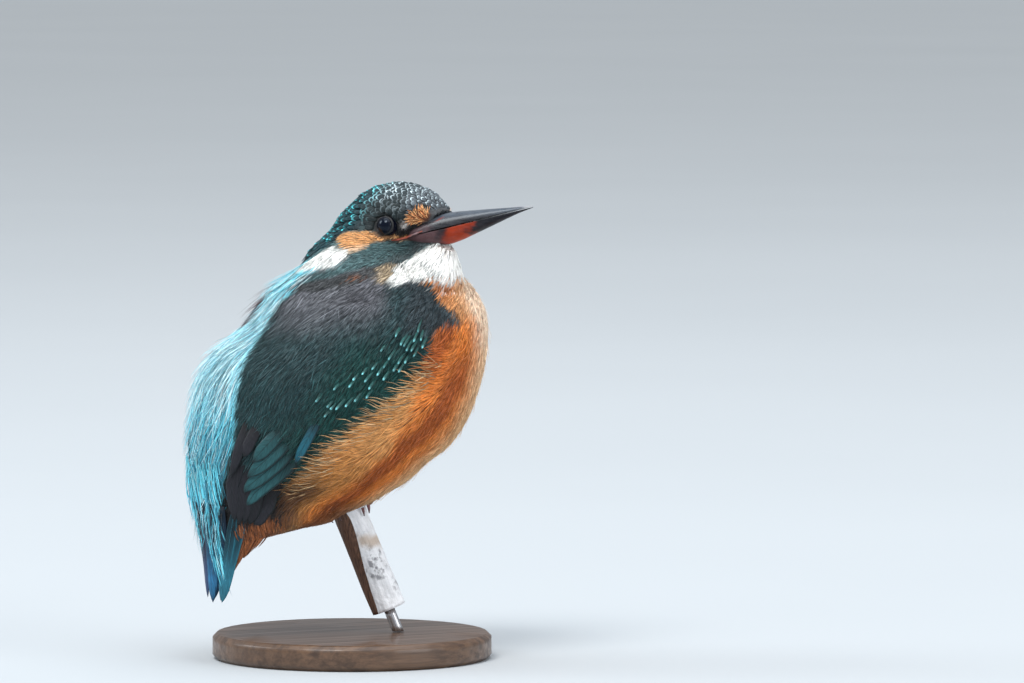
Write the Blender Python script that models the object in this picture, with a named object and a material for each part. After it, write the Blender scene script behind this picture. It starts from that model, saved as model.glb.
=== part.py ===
"""A common kingfisher, life size, resting on a cut length of reed held by a plain display stand.

+Z is up, the bird faces +X and its right side is -Y. The origin is the middle of the underside
of the stand's base. Sizes below are in millimetres and are scaled to metres as meshes are made.
"""
import math

import bpy
import bmesh
import numpy as np
from mathutils import Matrix, Vector

for old in list(bpy.data.objects):
    bpy.data.objects.remove(old, do_unlink=True)

MM = 0.001
GAP = 0.3

# Fluffed body: ring height, ring centre x, half depth, half width, forward droop in degrees.
BODY_SIDES = 36
BODY_POWER = 2.2
BODY_RINGS = 23
BODY = (
    (29.1, -37.3, 3.6, 8.2, 8.0),
    (33.4, -35.8, 6.9, 11.0, -12.0),
    (38.2, -28.8, 15.4, 15.0, 8.0),
    (45.5, -25.0, 22.6, 19.0, 14.0),
    (51.9, -17.6, 30.2, 26.0, 15.5),
    (62.4, -10.8, 35.3, 30.5, 13.0),
    (71.0, -6.0, 37.8, 32.5, 11.0),
    (79.8, -1.4, 37.3, 32.5, 7.6),
    (88.8, 3.5, 34.2, 31.5, 4.0),
    (96.7, 6.4, 30.6, 28.5, 2.3),
    (102.8, 7.8, 25.5, 24.0, 2.5),
    (106.7, 8.0, 20.9, 20.0, 2.6),
    (111.5, 3.8, 14.6, 15.0, 0.0),
    (117.0, 3.2, 9.4, 10.0, 0.0),
)

# Head frame: origin between the eyes, x along the bill, y to the bird's left, z up the brow.
EYE_MIDDLE = (13.1, -7.5, 117.6)
HEAD_YAW = -70.0
HEAD_PITCH = 12.0
CRANIUM_SIDES = 28
CRANIUM_STEPS = 13
# Cranium: station along the bill axis, brow height, half width, underside height.
CRANIUM = (
    (-27.5, -2.5, 4.0, -8.5),
    (-25.0, 1.5, 8.5, -11.0),
    (-20.0, 7.8, 13.4, -13.0),
    (-14.0, 11.3, 14.6, -13.0),
    (-8.0, 13.0, 13.6, -13.0),
    (-2.0, 13.0, 11.8, -10.5),
    (4.0, 11.6, 9.8, -4.0),
    (9.0, 8.8, 7.6, -2.5),
    (13.0, 5.0, 5.4, -1.5),
    (16.0, 1.5, 3.2, -0.5),
)
THROAT_SIDES = 24
# Throat: height in the head frame, forward edge, half width. Its back edge lies inside the body.
THROAT_BACK = -8.0
THROAT = (
    (-20.5, 11.0, 9.0),
    (-18.5, 13.6, 11.5),
    (-15.5, 14.8, 10.8),
    (-12.0, 15.5, 8.4),
    (-8.0, 16.4, 5.4),
    (-5.5, 16.2, 3.4),
)
NAPE_SIDES = 20
# Nape: height, centre x, centre y, radius. It carries the turned head's hind neck to the mantle.
NAPE = (
    (98.0, 2.0, 8.5, 16.0),
    (104.0, 1.5, 9.5, 13.5),
    (110.0, 1.8, 10.8, 10.6),
    (115.0, 3.6, 9.6, 8.4),
    (120.5, 5.8, 6.4, 4.0),
)
HEAD_CUT_HEIGHT = 109.0
HEAD_CUT_TILT = 5.0
NECK_CUT_HEIGHT = 100.8
NECK_CUT_TILT = 4.0

EYE_RADIUS = 3.4
EYE_SPREAD = 8.5

# Bill: station, culmen height, lower edge height, half width along the cutting edges.
BILL = (
    (3.2, 0.5, -7.0, 5.6),
    (8.0, 0.9, -7.8, 5.4),
    (13.0, 1.0, -7.9, 4.6),
    (16.5, 1.0, -7.5, 4.1),
    (22.0, 0.35, -6.6, 3.3),
    (30.0, -0.6, -5.3, 2.2),
    (38.0, -1.65, -3.95, 1.15),
    (43.0, -2.3, -3.2, 0.5),
    (45.5, -2.62, -2.98, 0.16),
)
BILL_STEPS = 10
GAPE_LINE = ((3.2, -3.6), (45.5, -2.8))

# Folded wing laid on the body: ring height, front edge and rear edge in degrees from the breast.
WING_COLUMNS = 7
WING_ROWS = 16
WING_DEPTH = 1.7
WING_PROUD = 0.9
WING = (
    (31.5, 127.0, 137.0),
    (35.0, 119.0, 141.0),
    (40.0, 111.0, 147.0),
    (45.0, 108.0, 149.0),
    (51.0, 111.0, 151.0),
    (57.0, 110.0, 153.0),
    (66.0, 105.0, 157.0),
    (75.0, 97.0, 162.0),
    (82.0, 90.5, 167.0),
    (90.0, 88.0, 169.0),
    (95.0, 95.0, 166.0),
    (97.3, 110.0, 153.0),
)

# Tail: height, centre x, half width, half thickness.
TAIL_SIDES = 16
TAIL = (
    (17.5, -40.2, 8.2, 0.7),
    (24.0, -38.8, 7.6, 0.9),
    (31.0, -37.2, 6.6, 1.1),
    (38.0, -35.3, 5.4, 1.2),
)
TAIL_NOTCH_SPREAD = 3.4
TAIL_NOTCH_WIDTH = 1.1
TAIL_NOTCH_HEIGHT = 2.4

# Reed: its foot swings toward the bird's right.
REED_TOP = (-2.1, 0.0, 42.6)
REED_LEAN = 22.2
REED_SWING = -27.0
REED_SIDES = 24
REED = ((0.0, 4.45), (-6.0, 4.6), (-18.0, 4.65), (-25.0, 4.85), (-31.5, 4.65))
NEST_RADIUS = 7.0
NEST_RISE = 3.3

# Feet: each pad sits on the reed's rim and its toes bend over it.
PAD_REACH = 2.9
PAD_RADIUS = 1.35
PAD_TURN = 88.0
TOES = (("inner", 15.0, 1.0), ("middle", 45.0, 1.0), ("outer", 75.0, 1.0), ("hind", 150.0, 0.55))
TOE_BEND = ((4.4, 1.3), (5.5, 0.65))
TOE_PATH = ((5.8, -0.9), (5.75, -2.6))
TOE_RADII = (0.8, 0.8, 0.8, 0.78, 0.7)
CLAW_PATH = ((5.73, -2.95), (5.6, -4.1), (5.15, -5.3))
CLAW_RADII = (0.52, 0.38, 0.12)
LEG_RADIUS = 1.05
LEG_FOOT = 2.9
LEG_LENGTH = 6.0

BASE_RADIUS = 38.0
BASE_HEIGHT = 7.0
BASE_BEVEL = 1.2
ROD_RADIUS = 1.5


def smooth(rows, where):
    """Value of a table's later columns at `where`, a smooth curve through its rows."""
    table = np.asarray(rows, float)
    key = table[:, 0]
    value = table[:, 1:]
    span = np.diff(key)[:, None]
    slope = np.diff(value, axis=0) / span
    tangent = np.zeros_like(value)
    tangent[1:-1] = (slope[:-1] * span[1:] + slope[1:] * span[:-1]) / (span[1:] + span[:-1])
    tangent[0] = slope[0]
    tangent[-1] = slope[-1]
    i = min(max(int(np.searchsorted(key, where)) - 1, 0), len(key) - 2)
    step = span[i, 0]
    w = (where - key[i]) / step
    near = (2 * w**3 - 3 * w**2 + 1) * value[i] + (w**3 - 2 * w**2 + w) * step * tangent[i]
    far = (3 * w**2 - 2 * w**3) * value[i + 1] + (w**3 - w**2) * step * tangent[i + 1]
    return near + far


def rounded(angle, power):
    """Unit superellipse point at an angle."""
    c = math.cos(angle)
    s = math.sin(angle)
    k = 2.0 / power
    return math.copysign(abs(c) ** k, c), math.copysign(abs(s) ** k, s)


def body_point(height, angle):
    """Point of the coat's outer surface; angle runs from the breast toward the right flank."""
    x, depth, width, droop = smooth(BODY, height)
    c, s = rounded(angle, BODY_POWER)
    tilt = math.radians(droop)
    return Vector((x + depth * c * math.cos(tilt), -width * s, height - depth * c * math.sin(tilt)))


def body_offset(height, angle, out):
    """Point lying `out` from the coat's surface."""
    up = body_point(height + 0.4, angle) - body_point(height - 0.4, angle)
    around = body_point(height, angle + 0.02) - body_point(height, angle - 0.02)
    return body_point(height, angle) + up.cross(around).normalized() * out


def loop_edges(verts):
    """Edges joining one ring of vertices, each listed once."""
    found = []
    for vert in verts:
        for edge in vert.link_edges:
            if edge not in found:
                found.append(edge)
    return found


def ring_at(radius, height, sides):
    """Level ring of points about the local z axis."""
    turn = [2 * math.pi * k / sides for k in range(sides)]
    return [(radius * math.cos(a), radius * math.sin(a), height) for a in turn]


def loft(name, rings):
    """Closed solid bridged through equal rings of points and filled at both ends."""
    bm = bmesh.new()
    loops = []
    for ring in rings:
        made = bmesh.ops.create_circle(bm, cap_ends=False, segments=len(ring), radius=1.0)
        for vert, point in zip(made["verts"], ring):
            vert.co = Vector(point) * MM
        loops.append(loop_edges(made["verts"]))
    for lower, upper in zip(loops, loops[1:]):
        bmesh.ops.bridge_loops(bm, edges=lower + upper)
    bmesh.ops.edgeloop_fill(bm, edges=loops[0])
    bmesh.ops.edgeloop_fill(bm, edges=loops[-1])
    bmesh.ops.recalc_face_normals(bm, faces=bm.faces)
    mesh = bpy.data.meshes.new(name)
    bm.to_mesh(mesh)
    bm.free()
    obj = bpy.data.objects.new(name, mesh)
    bpy.context.collection.objects.link(obj)
    return obj


def placed(frame, rings):
    """Rings carried from a local frame to the world."""
    return [[frame @ Vector(point) for point in ring] for ring in rings]


def combine(base, tool, kind, keep=False):
    """Join, cut or intersect two solids, applied at once."""
    tool.hide_render = True
    tool.display_type = "WIRE"
    change = base.modifiers.new(kind.lower(), "BOOLEAN")
    change.operation = kind
    change.solver = "EXACT"
    change.object = tool
    bpy.context.view_layer.objects.active = base
    bpy.ops.object.modifier_apply(modifier=change.name)
    if not keep:
        bpy.data.objects.remove(tool, do_unlink=True)
    return base


def copy_of(obj, name):
    """Independent copy of a solid."""
    twin = obj.copy()
    twin.data = obj.data.copy()
    twin.name = name
    bpy.context.collection.objects.link(twin)
    return twin


def finish(obj, colour, roughness, metallic=0.0, angle=40.0):
    """Give a solid its material and shade its rounded faces smooth."""
    paint = bpy.data.materials.new(obj.name)
    paint.use_nodes = True
    shader = paint.node_tree.nodes["Principled BSDF"]
    shader.inputs["Base Color"].default_value = (*colour, 1.0)
    shader.inputs["Roughness"].default_value = roughness
    shader.inputs["Metallic"].default_value = metallic
    obj.data.materials.clear()
    obj.data.materials.append(paint)
    obj.data.shade_smooth()
    obj.data.set_sharp_from_angle(angle=math.radians(angle))
    obj.hide_render = False
    return obj


def spread(start, stop, count):
    """Evenly spaced values, both ends included."""
    return [start + (stop - start) * i / (count - 1) for i in range(count)]


def stations(rows, count, grow=0.0):
    """Evenly spaced keys of a table, the two end ones pushed out by `grow`."""
    keys = spread(rows[0][0], rows[-1][0], count)
    keys[0] -= grow
    keys[-1] += grow
    return keys


def within(rows, key):
    """Key held inside a table's range."""
    return min(max(key, rows[0][0]), rows[-1][0])


def body_solid():
    """Trunk and neck in one loft, closed under the tail coverts and inside the head."""
    rings = []
    for height in stations(BODY, BODY_RINGS):
        turn = [2 * math.pi * k / BODY_SIDES for k in range(BODY_SIDES)]
        rings.append([body_point(height, angle) for angle in turn])
    return loft("bird", rings)


def cranium_solid(frame):
    """Crown, cheeks and nape, lofted along the bill axis."""
    rings = []
    for along in stations(CRANIUM, CRANIUM_STEPS):
        brow, half, under = smooth(CRANIUM, along)
        middle = under + 0.42 * (brow - under)
        ring = []
        for k in range(CRANIUM_SIDES):
            c, s = rounded(2 * math.pi * k / CRANIUM_SIDES, 2.15)
            reach = brow - middle if c > 0 else middle - under
            ring.append((along, half * s, middle + reach * c))
        rings.append(ring)
    return loft("cranium", placed(frame, rings))


def throat_solid(frame):
    """Bib of throat feathers hanging under the bill."""
    rings = []
    for height in stations(THROAT, 7):
        front, half = smooth(THROAT, height)
        middle = (front + THROAT_BACK) / 2
        reach = (front - THROAT_BACK) / 2
        ring = []
        for k in range(THROAT_SIDES):
            c, s = rounded(2 * math.pi * k / THROAT_SIDES, 2.0)
            ring.append((middle + reach * c, half * s, height))
        rings.append(ring)
    return loft("throat", placed(frame, rings))


def nape_solid():
    """Hind neck behind the turned head."""
    rings = []
    for height in stations(NAPE, 7):
        x, y, radius = smooth(NAPE, height)
        rings.append([(px + x, py + y, pz) for px, py, pz in ring_at(radius, height, NAPE_SIDES)])
    return loft("nape", rings)


def gape(along):
    """Height of the line where the mandibles meet."""
    (x0, h0), (x1, h1) = GAPE_LINE
    return h0 + (h1 - h0) * (along - x0) / (x1 - x0)


def arc(along, half, edge, reach):
    """Half of a bill section, from the left cutting edge over the ridge to the right one."""
    turn = [math.pi * k / 10 for k in range(11)]
    return [(along, half * math.cos(a), edge + reach * math.sin(a) ** 0.9) for a in turn]


def mandible_solid(name, frame, side):
    """One mandible: a rounded ridge outside and a flat face along the gape; side 1 is the upper."""
    rings = []
    for along in stations(BILL, BILL_STEPS):
        top, bottom, half = smooth(BILL, along)
        edge = gape(along) + side * GAP / 2
        reach = max(top - edge, 0.12) if side > 0 else min(bottom - edge, -0.12)
        flat = [(along, -half * (1 - k / 3), edge) for k in range(1, 6)]
        rings.append(arc(along, half, edge, reach) + flat)
    return loft(name, placed(frame, rings))


def bill_room(frame):
    """Both mandibles' shape grown by the gap."""
    rings = []
    for along in stations(BILL, BILL_STEPS, GAP):
        top, bottom, half = smooth(BILL, within(BILL, along))
        edge = gape(along)
        above = arc(along, half + GAP, edge, top - edge + GAP)
        below = arc(along, half + GAP, edge, bottom - edge - GAP)
        rings.append(above + below[-2:0:-1])
    return loft("bill_room", placed(frame, rings))


def wing_solid(name, side, grow=0.0):
    """Folded wing, a shell let into the flank; side is 1 for the right and -1 for the left."""
    rings = []
    for height in stations(WING, WING_ROWS, 2.2 * grow):
        front, rear = smooth(WING, within(WING, height))
        width = smooth(BODY, height)[2]
        turn = math.degrees(1.3 * grow / width)
        outer = []
        inner = []
        for part in spread(0.0, 1.0, WING_COLUMNS):
            angle = math.radians(front - turn + (rear - front + 2 * turn) * part)
            crest = WING_PROUD * math.sin(math.pi * (0.12 + 0.76 * part))
            lift = crest if grow == 0.0 else 6.0
            outer.append(body_offset(height, angle, lift))
            inner.append(body_offset(height, angle, -WING_DEPTH - 1.3 * grow))
        ring = outer + inner[::-1]
        rings.append([(p.x, p.y * side, p.z) for p in ring])
    return loft(name, rings)


def tail_solid(name, grow=0.0):
    """Short closed tail, a flat blade widening to its tip."""
    rings = []
    for height in stations(TAIL, 7, grow):
        x, half, thick = smooth(TAIL, within(TAIL, height))
        ring = []
        for k in range(TAIL_SIDES):
            c, s = rounded(2 * math.pi * k / TAIL_SIDES, 3.2)
            ring.append((x + (thick + grow) * c, (half + grow) * s, height))
        rings.append(ring)
    return loft(name, rings)


def tube(name, path, radii, sides):
    """Round limb swept along a path."""
    rings = []
    points = [Vector(p) for p in path]
    side = Vector((0.31, 0.89, 0.33))
    for i, (point, radius) in enumerate(zip(points, radii)):
        ahead = points[min(i + 1, len(points) - 1)] - points[max(i - 1, 0)]
        ahead.normalize()
        side = (side - ahead * side.dot(ahead)).normalized()
        other = ahead.cross(side)
        turn = [2 * math.pi * k / sides for k in range(sides)]
        rings.append([point + (side * math.cos(a) + other * math.sin(a)) * radius for a in turn])
    return loft(name, rings)


def ball(name, centre, radius, segments, ring_count):
    """Round ball."""
    bpy.ops.mesh.primitive_uv_sphere_add(
        segments=segments, ring_count=ring_count, radius=radius * MM, location=Vector(centre) * MM
    )
    obj = bpy.context.object
    obj.name = name
    obj.data.name = name
    bpy.ops.object.transform_apply(location=True, rotation=True, scale=True)
    return obj


def slab(name, frame, low, high):
    """Wide block between two heights of a local frame."""
    wide = 90.0
    corners = [(-wide, -wide), (wide, -wide), (wide, wide), (-wide, wide)]
    return loft(name, placed(frame, [[(x, y, h) for x, y in corners] for h in (low, high)]))


head_frame = (
    Matrix.Translation(EYE_MIDDLE)
    @ Matrix.Rotation(math.radians(HEAD_YAW), 4, "Z")
    @ Matrix.Rotation(math.radians(-HEAD_PITCH), 4, "Y")
)
swing = math.radians(REED_SWING)
lean = math.radians(REED_LEAN)
up_reed = Vector((-math.sin(lean) * math.cos(swing), -math.sin(lean) * math.sin(swing), math.cos(lean)))
across = (Vector((1, 0, 0)) - up_reed * up_reed.x).normalized()
reed_frame = Matrix.Translation(REED_TOP) @ Matrix(
    (across, up_reed.cross(across), up_reed)
).transposed().to_4x4()

# Bird: one whole coat, then thin parting gaps.
bird = body_solid()
combine(bird, cranium_solid(head_frame), "UNION")
combine(bird, throat_solid(head_frame), "UNION")
combine(bird, nape_solid(), "UNION")

neck_frame = Matrix.Translation((0.0, 0.0, NECK_CUT_HEIGHT)) @ Matrix.Rotation(
    math.radians(NECK_CUT_TILT), 4, "Y"
)
head_part = (
    Matrix.Translation((EYE_MIDDLE[0], EYE_MIDDLE[1], HEAD_CUT_HEIGHT))
    @ Matrix.Rotation(math.radians(HEAD_YAW), 4, "Z")
    @ Matrix.Rotation(math.radians(-HEAD_CUT_TILT), 4, "Y")
)
head = combine(copy_of(bird, "head"), slab("above", head_part, 0.0, 80.0), "INTERSECT")
neck = combine(copy_of(bird, "neck"), slab("below", head_part, -GAP, 80.0), "DIFFERENCE")
combine(neck, slab("beneath", neck_frame, 0.0, -120.0), "DIFFERENCE")
trunk = combine(bird, slab("neck_gap", neck_frame, -GAP, 80.0), "DIFFERENCE")
trunk.name = "trunk"
trunk.data.name = "trunk"

bill_upper = mandible_solid("bill_upper", head_frame, 1)
bill_lower = mandible_solid("bill_lower", head_frame, -1)
combine(head, bill_room(head_frame), "DIFFERENCE")
combine(neck, bill_room(head_frame), "DIFFERENCE")

eyes = []
for name, side in (("eye_left", 1), ("eye_right", -1)):
    centre = head_frame @ Vector((0.0, side * EYE_SPREAD, 0.0))
    combine(head, ball("socket", centre, EYE_RADIUS + GAP, 16, 10), "DIFFERENCE")
    eyes.append(ball(name, centre, EYE_RADIUS, 16, 10))

wings = []
for name, side in (("wing_right", 1), ("wing_left", -1)):
    combine(trunk, wing_solid("wing_room", side, GAP), "DIFFERENCE")
    wings.append(wing_solid(name, side))

combine(trunk, tail_solid("tail_room", GAP), "DIFFERENCE")
tail = tail_solid("tail")
for side in (-1, 1):
    middle = side * TAIL_NOTCH_SPREAD
    low = TAIL[0][0] - 1.0
    outline = ((-TAIL_NOTCH_WIDTH, low), (TAIL_NOTCH_WIDTH, low), (0.0, low + TAIL_NOTCH_HEIGHT))
    rings = [[(x, middle + y, z) for y, z in outline] for x in (-46.0, -34.0)]
    combine(tail, loft("notch", rings), "DIFFERENCE")

# Perch.
reed_rings = [ring_at(radius, height, REED_SIDES) for height, radius in REED]
perch_reed = loft("perch_reed", placed(reed_frame, reed_rings))
nest = [ring_at(NEST_RADIUS, height, REED_SIDES) for height in (REED[-1][0], NEST_RISE)]
combine(trunk, loft("nest", placed(reed_frame, nest)), "DIFFERENCE")

# Feet, legs and claws.
horn = []
skin = []
for word, side in (("right", -1), ("left", 1)):
    turn = math.radians(PAD_TURN) * side
    pad = Vector((PAD_REACH * math.cos(turn), PAD_REACH * math.sin(turn), PAD_RADIUS + GAP))
    foot = ball("foot_" + word, reed_frame @ pad, PAD_RADIUS, 10, 6)
    for toe, swing_out, drop in TOES:
        angle = math.radians(swing_out) * side
        ray = Vector((math.cos(angle), math.sin(angle), 0.0))
        path = [pad] + [ray * reach + Vector((0, 0, height)) for reach, height in TOE_BEND]
        path += [ray * reach + Vector((0, 0, height * drop)) for reach, height in TOE_PATH]
        combine(foot, tube("toe", [reed_frame @ p for p in path], TOE_RADII, 7), "UNION")
        path = [ray * reach + Vector((0, 0, height + 2.6 * (1 - drop))) for reach, height in CLAW_PATH]
        claw = tube("claw_" + word + "_" + toe, [reed_frame @ p for p in path], CLAW_RADII, 8)
        horn.append(claw)
    skin.append(foot)
    ankle = Vector((pad.x, pad.y, LEG_FOOT + GAP * 1.6))
    hock = ankle + Vector((-0.6, side * 0.5, LEG_LENGTH))
    room = [reed_frame @ (ankle - Vector((0, 0, 1.0))), reed_frame @ (hock + Vector((0, 0, GAP)))]
    combine(trunk, tube("leg_room", room, [LEG_RADIUS + GAP] * 2, 12), "DIFFERENCE")
    ends = [reed_frame @ ankle, reed_frame @ hock]
    skin.append(tube("leg_" + word, ends, [LEG_RADIUS] * 2, 12))

# Stand.
bpy.ops.mesh.primitive_cylinder_add(
    vertices=48, radius=BASE_RADIUS * MM, depth=BASE_HEIGHT * MM, location=(0, 0, BASE_HEIGHT * MM / 2)
)
base = bpy.context.object
base.name = "stand_base"
base.data.name = "stand_base"
bpy.ops.object.transform_apply(location=True, rotation=True, scale=True)
soften = base.modifiers.new("soft_edge", "BEVEL")
soften.width = BASE_BEVEL * MM
soften.segments = 1
soften.limit_method = "ANGLE"
bpy.ops.object.modifier_apply(modifier=soften.name)

foot_height = BASE_HEIGHT + GAP
rod_top = [reed_frame @ Vector(p) for p in ring_at(ROD_RADIUS, REED[-1][0] - GAP, 16)]
rod_foot = [p - up_reed * ((p.z - foot_height) / up_reed.z) for p in rod_top]
rod = loft("stand_rod", [rod_foot, rod_top])

finish(trunk, (0.62, 0.28, 0.09), 0.85)
finish(neck, (0.55, 0.5, 0.44), 0.85)
finish(head, (0.05, 0.16, 0.18), 0.8)
finish(bill_upper, (0.02, 0.022, 0.028), 0.35)
finish(bill_lower, (0.45, 0.1, 0.05), 0.4)
for eye in eyes:
    finish(eye, (0.012, 0.01, 0.009), 0.06, angle=60.0)
for wing in wings:
    finish(wing, (0.02, 0.13, 0.14), 0.7, angle=50.0)
finish(tail, (0.02, 0.13, 0.3), 0.6)
for limb in skin:
    finish(limb, (0.62, 0.1, 0.05), 0.5, angle=60.0)
for claw in horn:
    finish(claw, (0.06, 0.02, 0.02), 0.35, angle=60.0)
finish(perch_reed, (0.55, 0.45, 0.33), 0.75)
finish(base, (0.045, 0.045, 0.05), 0.55)
finish(rod, (0.5, 0.5, 0.52), 0.3, 1.0)
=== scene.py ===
"""A kingfisher on a cut length of reed, held by a display stand.

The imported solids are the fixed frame. One skin goes under the coat, feathers are laid over it
from arrays, and the bill, eyes, feet, reed and stand get their finished shapes and materials.
Lengths in the tables are in millimetres.
"""
import math
from contextlib import contextmanager

import bmesh
import bpy
import numpy as np
from mathutils import Matrix, Vector
from mathutils.bvhtree import BVHTree
from mathutils.kdtree import KDTree


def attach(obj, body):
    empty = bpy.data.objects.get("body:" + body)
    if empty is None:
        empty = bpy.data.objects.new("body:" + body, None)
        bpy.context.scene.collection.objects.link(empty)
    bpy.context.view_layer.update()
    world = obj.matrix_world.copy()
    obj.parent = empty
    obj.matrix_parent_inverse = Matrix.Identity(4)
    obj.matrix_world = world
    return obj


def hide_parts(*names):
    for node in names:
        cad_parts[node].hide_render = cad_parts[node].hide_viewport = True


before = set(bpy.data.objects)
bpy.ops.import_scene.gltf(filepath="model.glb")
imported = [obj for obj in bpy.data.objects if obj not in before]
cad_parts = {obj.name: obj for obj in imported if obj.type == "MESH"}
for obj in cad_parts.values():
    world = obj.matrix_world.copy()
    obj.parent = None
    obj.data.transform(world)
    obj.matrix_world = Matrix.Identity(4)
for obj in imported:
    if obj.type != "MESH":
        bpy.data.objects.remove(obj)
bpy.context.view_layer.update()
MM = 0.001
HANDS = (("right", -1), ("left", 1))   # the bird's own sides

# ---------------------------------------------------------------- named sizes
HEAD_AT = Vector((13.1, -7.5, 117.6))
HEAD_TURN, HEAD_TILT = -70.0, -12.0
HEAD = (Matrix.Translation(HEAD_AT) @ Matrix.Rotation(math.radians(HEAD_TURN), 4, "Z")
        @ Matrix.Rotation(math.radians(HEAD_TILT), 4, "Y"))
HEAD_AXES = np.array(HEAD.to_3x3())
EYE_AT, EYE_RADIUS = (1.3, 8.85, 0.2), 2.75   # forward, sideways and up from the middle
EYE_SHIFT = (1.5, 0.4)   # the middle of the bare ring round the open eye, forward and up

# trunk rings: height, centre forward, half depth, half width, droop of the front in degrees
TRUNK = np.array((
    (29.1, -37.3, 3.6, 8.2, 8), (33.4, -35.8, 6.9, 11, -12), (38.2, -28.8, 15.4, 15, 8),
    (45.5, -25, 22.6, 19, 14), (51.9, -17.6, 30.2, 26, 15.5), (62.4, -10.8, 35.3, 30.5, 13),
    (71, -6, 37.8, 32.5, 11), (79.8, -1.4, 37.3, 32.5, 7.6), (88.8, 3.5, 34.2, 31.5, 4),
    (96.7, 6.4, 30.6, 28.5, 2.3), (102.8, 7.8, 25.5, 24, 2.5), (106.7, 8, 20.9, 20, 2.6),
    (111.5, 3.8, 14.6, 15, 0), (117, 3.2, 9.4, 10, 0)))
SQUARENESS = 2.2
TAIL_ROOT = np.array((-44.0, 0.0, 26.0))

REED_TOP = np.array((-2.1, 0.0, 42.6))
REED_LEAN, REED_SWING = math.radians(22.2), math.radians(-27)
UP_REED = np.array((-math.sin(REED_LEAN) * math.cos(REED_SWING),
                    -math.sin(REED_LEAN) * math.sin(REED_SWING), math.cos(REED_LEAN)))
BACK_DENT, BELLY_DENT, NAPE_DENT = 1.5, 2.2, 0.8   # how much deeper the skin lies there


# ---------------------------------------------------------------- small helpers
def smooth(low, high, x):
    t = np.clip((x - low) / (high - low), 0.0, 1.0)
    return t * t * (3.0 - 2.0 * t)


def fall(low, high, x):
    return 1 - smooth(low, high, x)


def unit(v):
    return v / np.maximum(np.linalg.norm(v, axis=-1, keepdims=True), 1e-9)


def along(surface, direction):
    """The part of a direction that lies in the surface."""
    return unit(direction - surface * np.sum(surface * direction, -1, keepdims=True))


def inside(outline, x, y, soft):
    """1 inside a closed outline and 0 outside it, with an edge that soft."""
    nearest = np.full(x.shape, 1e9)
    odd = np.zeros(x.shape, bool)
    for (ax, ay), (bx, by) in zip(outline, outline[1:] + outline[:1]):
        ex, ey = bx - ax, by - ay
        t = np.clip(((x - ax) * ex + (y - ay) * ey) / (ex * ex + ey * ey), 0, 1)
        nearest = np.minimum(nearest, np.hypot(x - ax - t * ex, y - ay - t * ey))
        if ey:
            odd ^= ((ay > y) != (by > y)) & (x < ax + ex * (y - ay) / ey)
    return smooth(-soft, soft, np.where(odd, nearest, -nearest))


def drift(points, span, seed):
    """A slow wander between about -1 and 1 over points in millimetres."""
    draw = np.random.default_rng(seed)
    total = 0.0
    for k in range(6):
        axis = unit(draw.normal(size=3))
        wave = span * (0.55 + 0.3 * k)
        total = total + np.sin(points @ axis * (2 * math.pi / wave) + draw.uniform(0, 6.28))
    return np.clip(total / 3.0, -1, 1)


def head_space(points):
    """Forward along the bill, to the bird's left and up, from the middle of the head."""
    return (points - np.array(HEAD_AT)) @ HEAD_AXES


def from_head(q):
    return q @ HEAD_AXES.T + np.array(HEAD_AT)


def from_middle(q, long, wide, high):
    """How far out places lie from the middle of an egg shape over the head, 1 on its shell."""
    return np.sqrt(((q[:, 0] + 6) / long) ** 2 + (q[:, 1] / wide) ** 2 + (q[:, 2] / high) ** 2)


def from_eye(f, h):
    return np.hypot(f - EYE_SHIFT[0], h - EYE_SHIFT[1])


def at_ring(ring, *columns):
    """What the trunk's table says at a ring height, one value for each column."""
    return (np.interp(ring, TRUNK[:, 0], TRUNK[:, c]) for c in columns)


def trunk_chart(points):
    """Ring height and turn round the trunk, from the breast (0) to the back (180)."""
    ring = points[:, 2].copy()
    for _ in range(5):
        mid, droop = at_ring(ring, 1, 4)
        ring = points[:, 2] + (points[:, 0] - mid) * np.tan(np.radians(droop))
    mid, deep, wide, droop = at_ring(ring, 1, 2, 3, 4)
    ahead = (points[:, 0] - mid) / (deep * np.cos(np.radians(droop)))
    return ring, np.degrees(np.arctan2(np.abs(points[:, 1]) / wide, ahead))


def trunk_point(ring, turn, side, out=0.0):
    """A point on the trunk at a ring height and turn, on the left (1) or right (-1)."""
    mid, deep, wide, droop = at_ring(ring, 1, 2, 3, 4)
    c, s = math.cos(math.radians(turn)), math.sin(math.radians(turn))
    reach = (abs(c) ** SQUARENESS + abs(s) ** SQUARENESS) ** (-1 / SQUARENESS)
    tilt = math.radians(droop)
    p = np.array((mid + deep * reach * c * math.cos(tilt), side * wide * reach * s,
                  ring - deep * reach * c * math.sin(tilt)))
    n = unit(np.array((c / deep, side * s / wide, -0.004)))
    return p + n * out, n


def back_inset(ring, turn, far):
    """How deep the skin of the back lies, so that the long strands over it end at the outline."""
    begin = np.where(far, 114, 138)
    deep = BACK_DENT * smooth(begin, begin + 22, turn)
    return deep * smooth(38, 48, ring) * smooth(100, 90, ring)


# ---------------------------------------------------------------- markings
# the pale cream of the breast's front is partly painted rim light
CREAM_AND_RIM_LIGHT, BUFF = (0.96, 0.67, 0.43), (0.80, 0.50, 0.26)
ORANGE, RUST = (0.80, 0.255, 0.048), (0.37, 0.070, 0.014)
FLANK, VENT = (0.62, 0.265, 0.072), (0.30, 0.10, 0.035)
# the front's pale peach: the breast's own colour and painted rim light
FRONT_AND_RIM_LIGHT = (1.0, 0.57, 0.27)
SMOKE, DARK_LOW_FLANK = (0.11, 0.085, 0.050), (0.070, 0.033, 0.020)
# the second of these, the mantle's purple, is painted sheen
SLATE, PURPLE_SHEEN = (0.036, 0.052, 0.061), (0.125, 0.128, 0.145)
TEAL, GREEN = (0.019, 0.057, 0.062), (0.008, 0.060, 0.054)
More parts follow.
